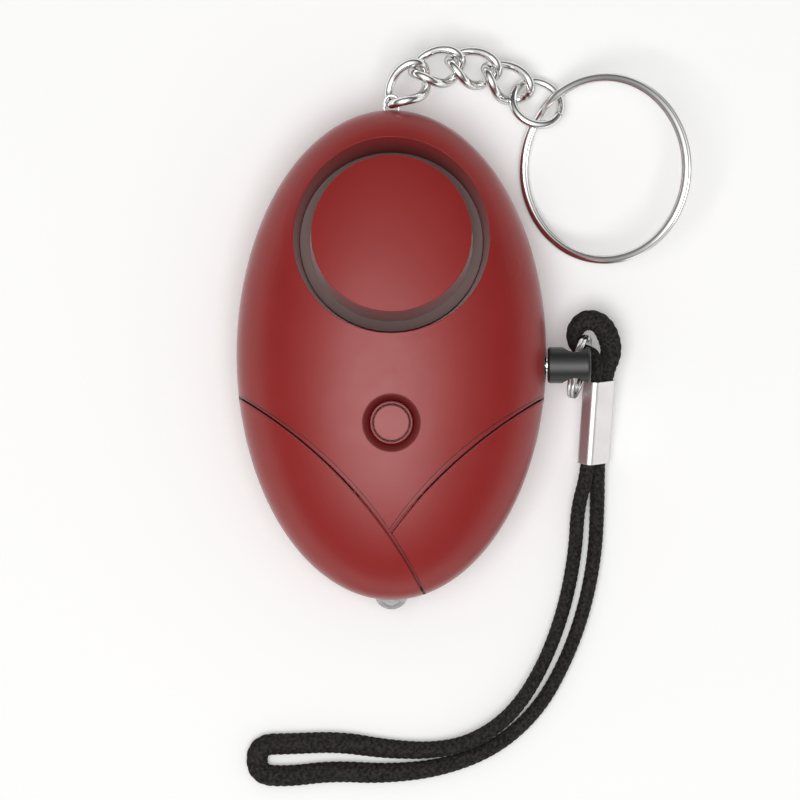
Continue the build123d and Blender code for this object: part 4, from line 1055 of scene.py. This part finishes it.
# %% The linings, in mm
lining_half, slit_half = 0.212, 0.135
slit_floor, lining_foot, under_skin = -0.37, -0.395, 0.004
lining_rows, last_rim_share = 260, 0.98
slit_sides = (2, 3, 4)
linings = (
    ("long_groove_lining", long_groove, (0.04, 0.09, 0.09, 0.04, -0.09)),
    ("short_groove_lining", short_groove, (0.06, 0.09, 0.09, 0.09, -0.04)),
)
for name, places, slit_places in linings:
    centre, radius = circle_through(places)
    turns = np.unwrap([math.atan2(y - centre[1], x - centre[0]) for x, y in places])
    turns = np.linspace(turns[0], turns[-1], lining_rows)
    out = np.column_stack([np.cos(turns), np.sin(turns)])
    slit = np.interp(np.linspace(0, 1, len(turns)), np.linspace(0, 1, len(slit_places)), slit_places)
    rows = []
    for place, direction, middle in zip(centre + radius * out, out, slit):
        # The lining ends just inside the rim, where the dome gets too steep to carry it.
        if (place[0] / half_width) ** 2 + (place[1] / half_length) ** 2 > last_rim_share:
            continue
        left, right = middle - slit_half, middle + slit_half
        profile = [
            (-lining_half, lining_foot),
            (-lining_half, 0),
            (left, 0),
            (left, slit_floor),
            (right, slit_floor),
            (right, 0),
            (lining_half, 0),
            (lining_half, lining_foot),
        ]
        row = []
        for across, down in profile:
            x, y = place + direction * across
            row.append(np.array([x, y, on_dome(x, y)]) + dome_normal(x, y) * (down - under_skin))
        rows.append(row)
    lining = skinned(name, np.array(rows), False, scored_red, "alarm")
    # The slit's walls and floor take the red painted nearly black as shade.
    lining.data.materials.append(slit_red_painted_shade)
    sides = len(profile)
    for number, face in enumerate(list(lining.data.polygons)[: (len(rows) - 1) * sides]):
        if number % sides in slit_sides:
            face.material_index = 1

# %% [markdown]
# ## The cup inside the lamp
# Inside the clear lamp a small plated cup holds the light source. It shows as a bright half disc, and
# the round nose of the lamp makes it look half as large again. It could be left to the finish of the
# lamp, but only a real form behind the epoxy bends as it should. A profile turned round the lamp's
# axis gives it.

# %% The lamp's cup, in mm
lamp_axis_height, cup_centre, cup_back = 6.9, -34.42, -33.4
cup_radius, back_hole = 0.82, 0.05
cup_sides, bow_points, last_bow = 48, 12, 4
bows = np.radians(np.linspace(90, last_bow, bow_points))
cup_profile = [(cup_radius * math.sin(b), cup_centre - cup_radius * math.cos(b)) for b in bows]
cup_profile = [(back_hole, cup_back), (cup_radius, cup_back)] + cup_profile
rings = []
for turn in np.linspace(0, math.tau, cup_sides, endpoint=False):
    rings.append([(r * math.cos(turn), y, lamp_axis_height + r * math.sin(turn)) for r, y in cup_profile])
cup_silver = metal("Silver_plated_cup_stamped", "#f4f3f1", 0.4, 0.1 * MM, 0.001 * MM)
skinned("lamp_cup", np.array(rings), True, cup_silver, "alarm")

# %% [markdown]
# ## The key ring's wire
# The wire of a split ring is rolled: its sides are flat and its edges are full rounds, so each coil
# shows a bright line between two dark ones. The solid part has the coils with small rounds. Here
# the same two coils are made again with the full round, on the place and at the size that the box of
# the solid ring gives. An oval is carried nearly twice round and steps down by a coil in between.

# %% The key ring, in mm
ring_low, ring_high = [np.array(corner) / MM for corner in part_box("key_ring")]
ring_centre = (ring_low + ring_high) / 2
ring_tilt = math.radians(27.7)
wire_across, wire_high, coil_gap = 1.2, 0.68, 0.02
wire_rows, wire_sides = 480, 28
step_place, step_width = math.radians(137), math.radians(28)
ring_radius = (ring_high[1] - ring_low[1]) / 2 - wire_across / 2
ring_x = np.array([math.cos(ring_tilt), 0, math.sin(ring_tilt)])
ring_y = np.array([0.0, 1.0, 0.0])
ring_axis = np.cross(ring_x, ring_y)
wire_start = step_place + step_width / 2
turns = np.linspace(wire_start, wire_start + 2 * math.tau - step_width, wire_rows)
into_step = np.clip((turns - (step_place - step_width / 2 + math.tau)) / step_width, 0, 1)
level = (wire_high + coil_gap) / 2 * np.cos(math.pi * into_step)
rows = []
for turn, height in zip(turns, level):
    out = ring_x * math.cos(turn) + ring_y * math.sin(turn)
    middle = ring_centre + out * ring_radius + ring_axis * height
    row = []
    for bend in np.linspace(0, math.tau, wire_sides, endpoint=False):
        across = math.cos(bend) * wire_across / 2
        up = math.sin(bend) * wire_high / 2
        row.append(middle + out * across + ring_axis * up)
    rows.append(row)
ring = skinned("key_ring_rolled", np.array(rows), False, rolled_wire, "key_ring")
ring.data.shade_smooth()
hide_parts("key_ring")
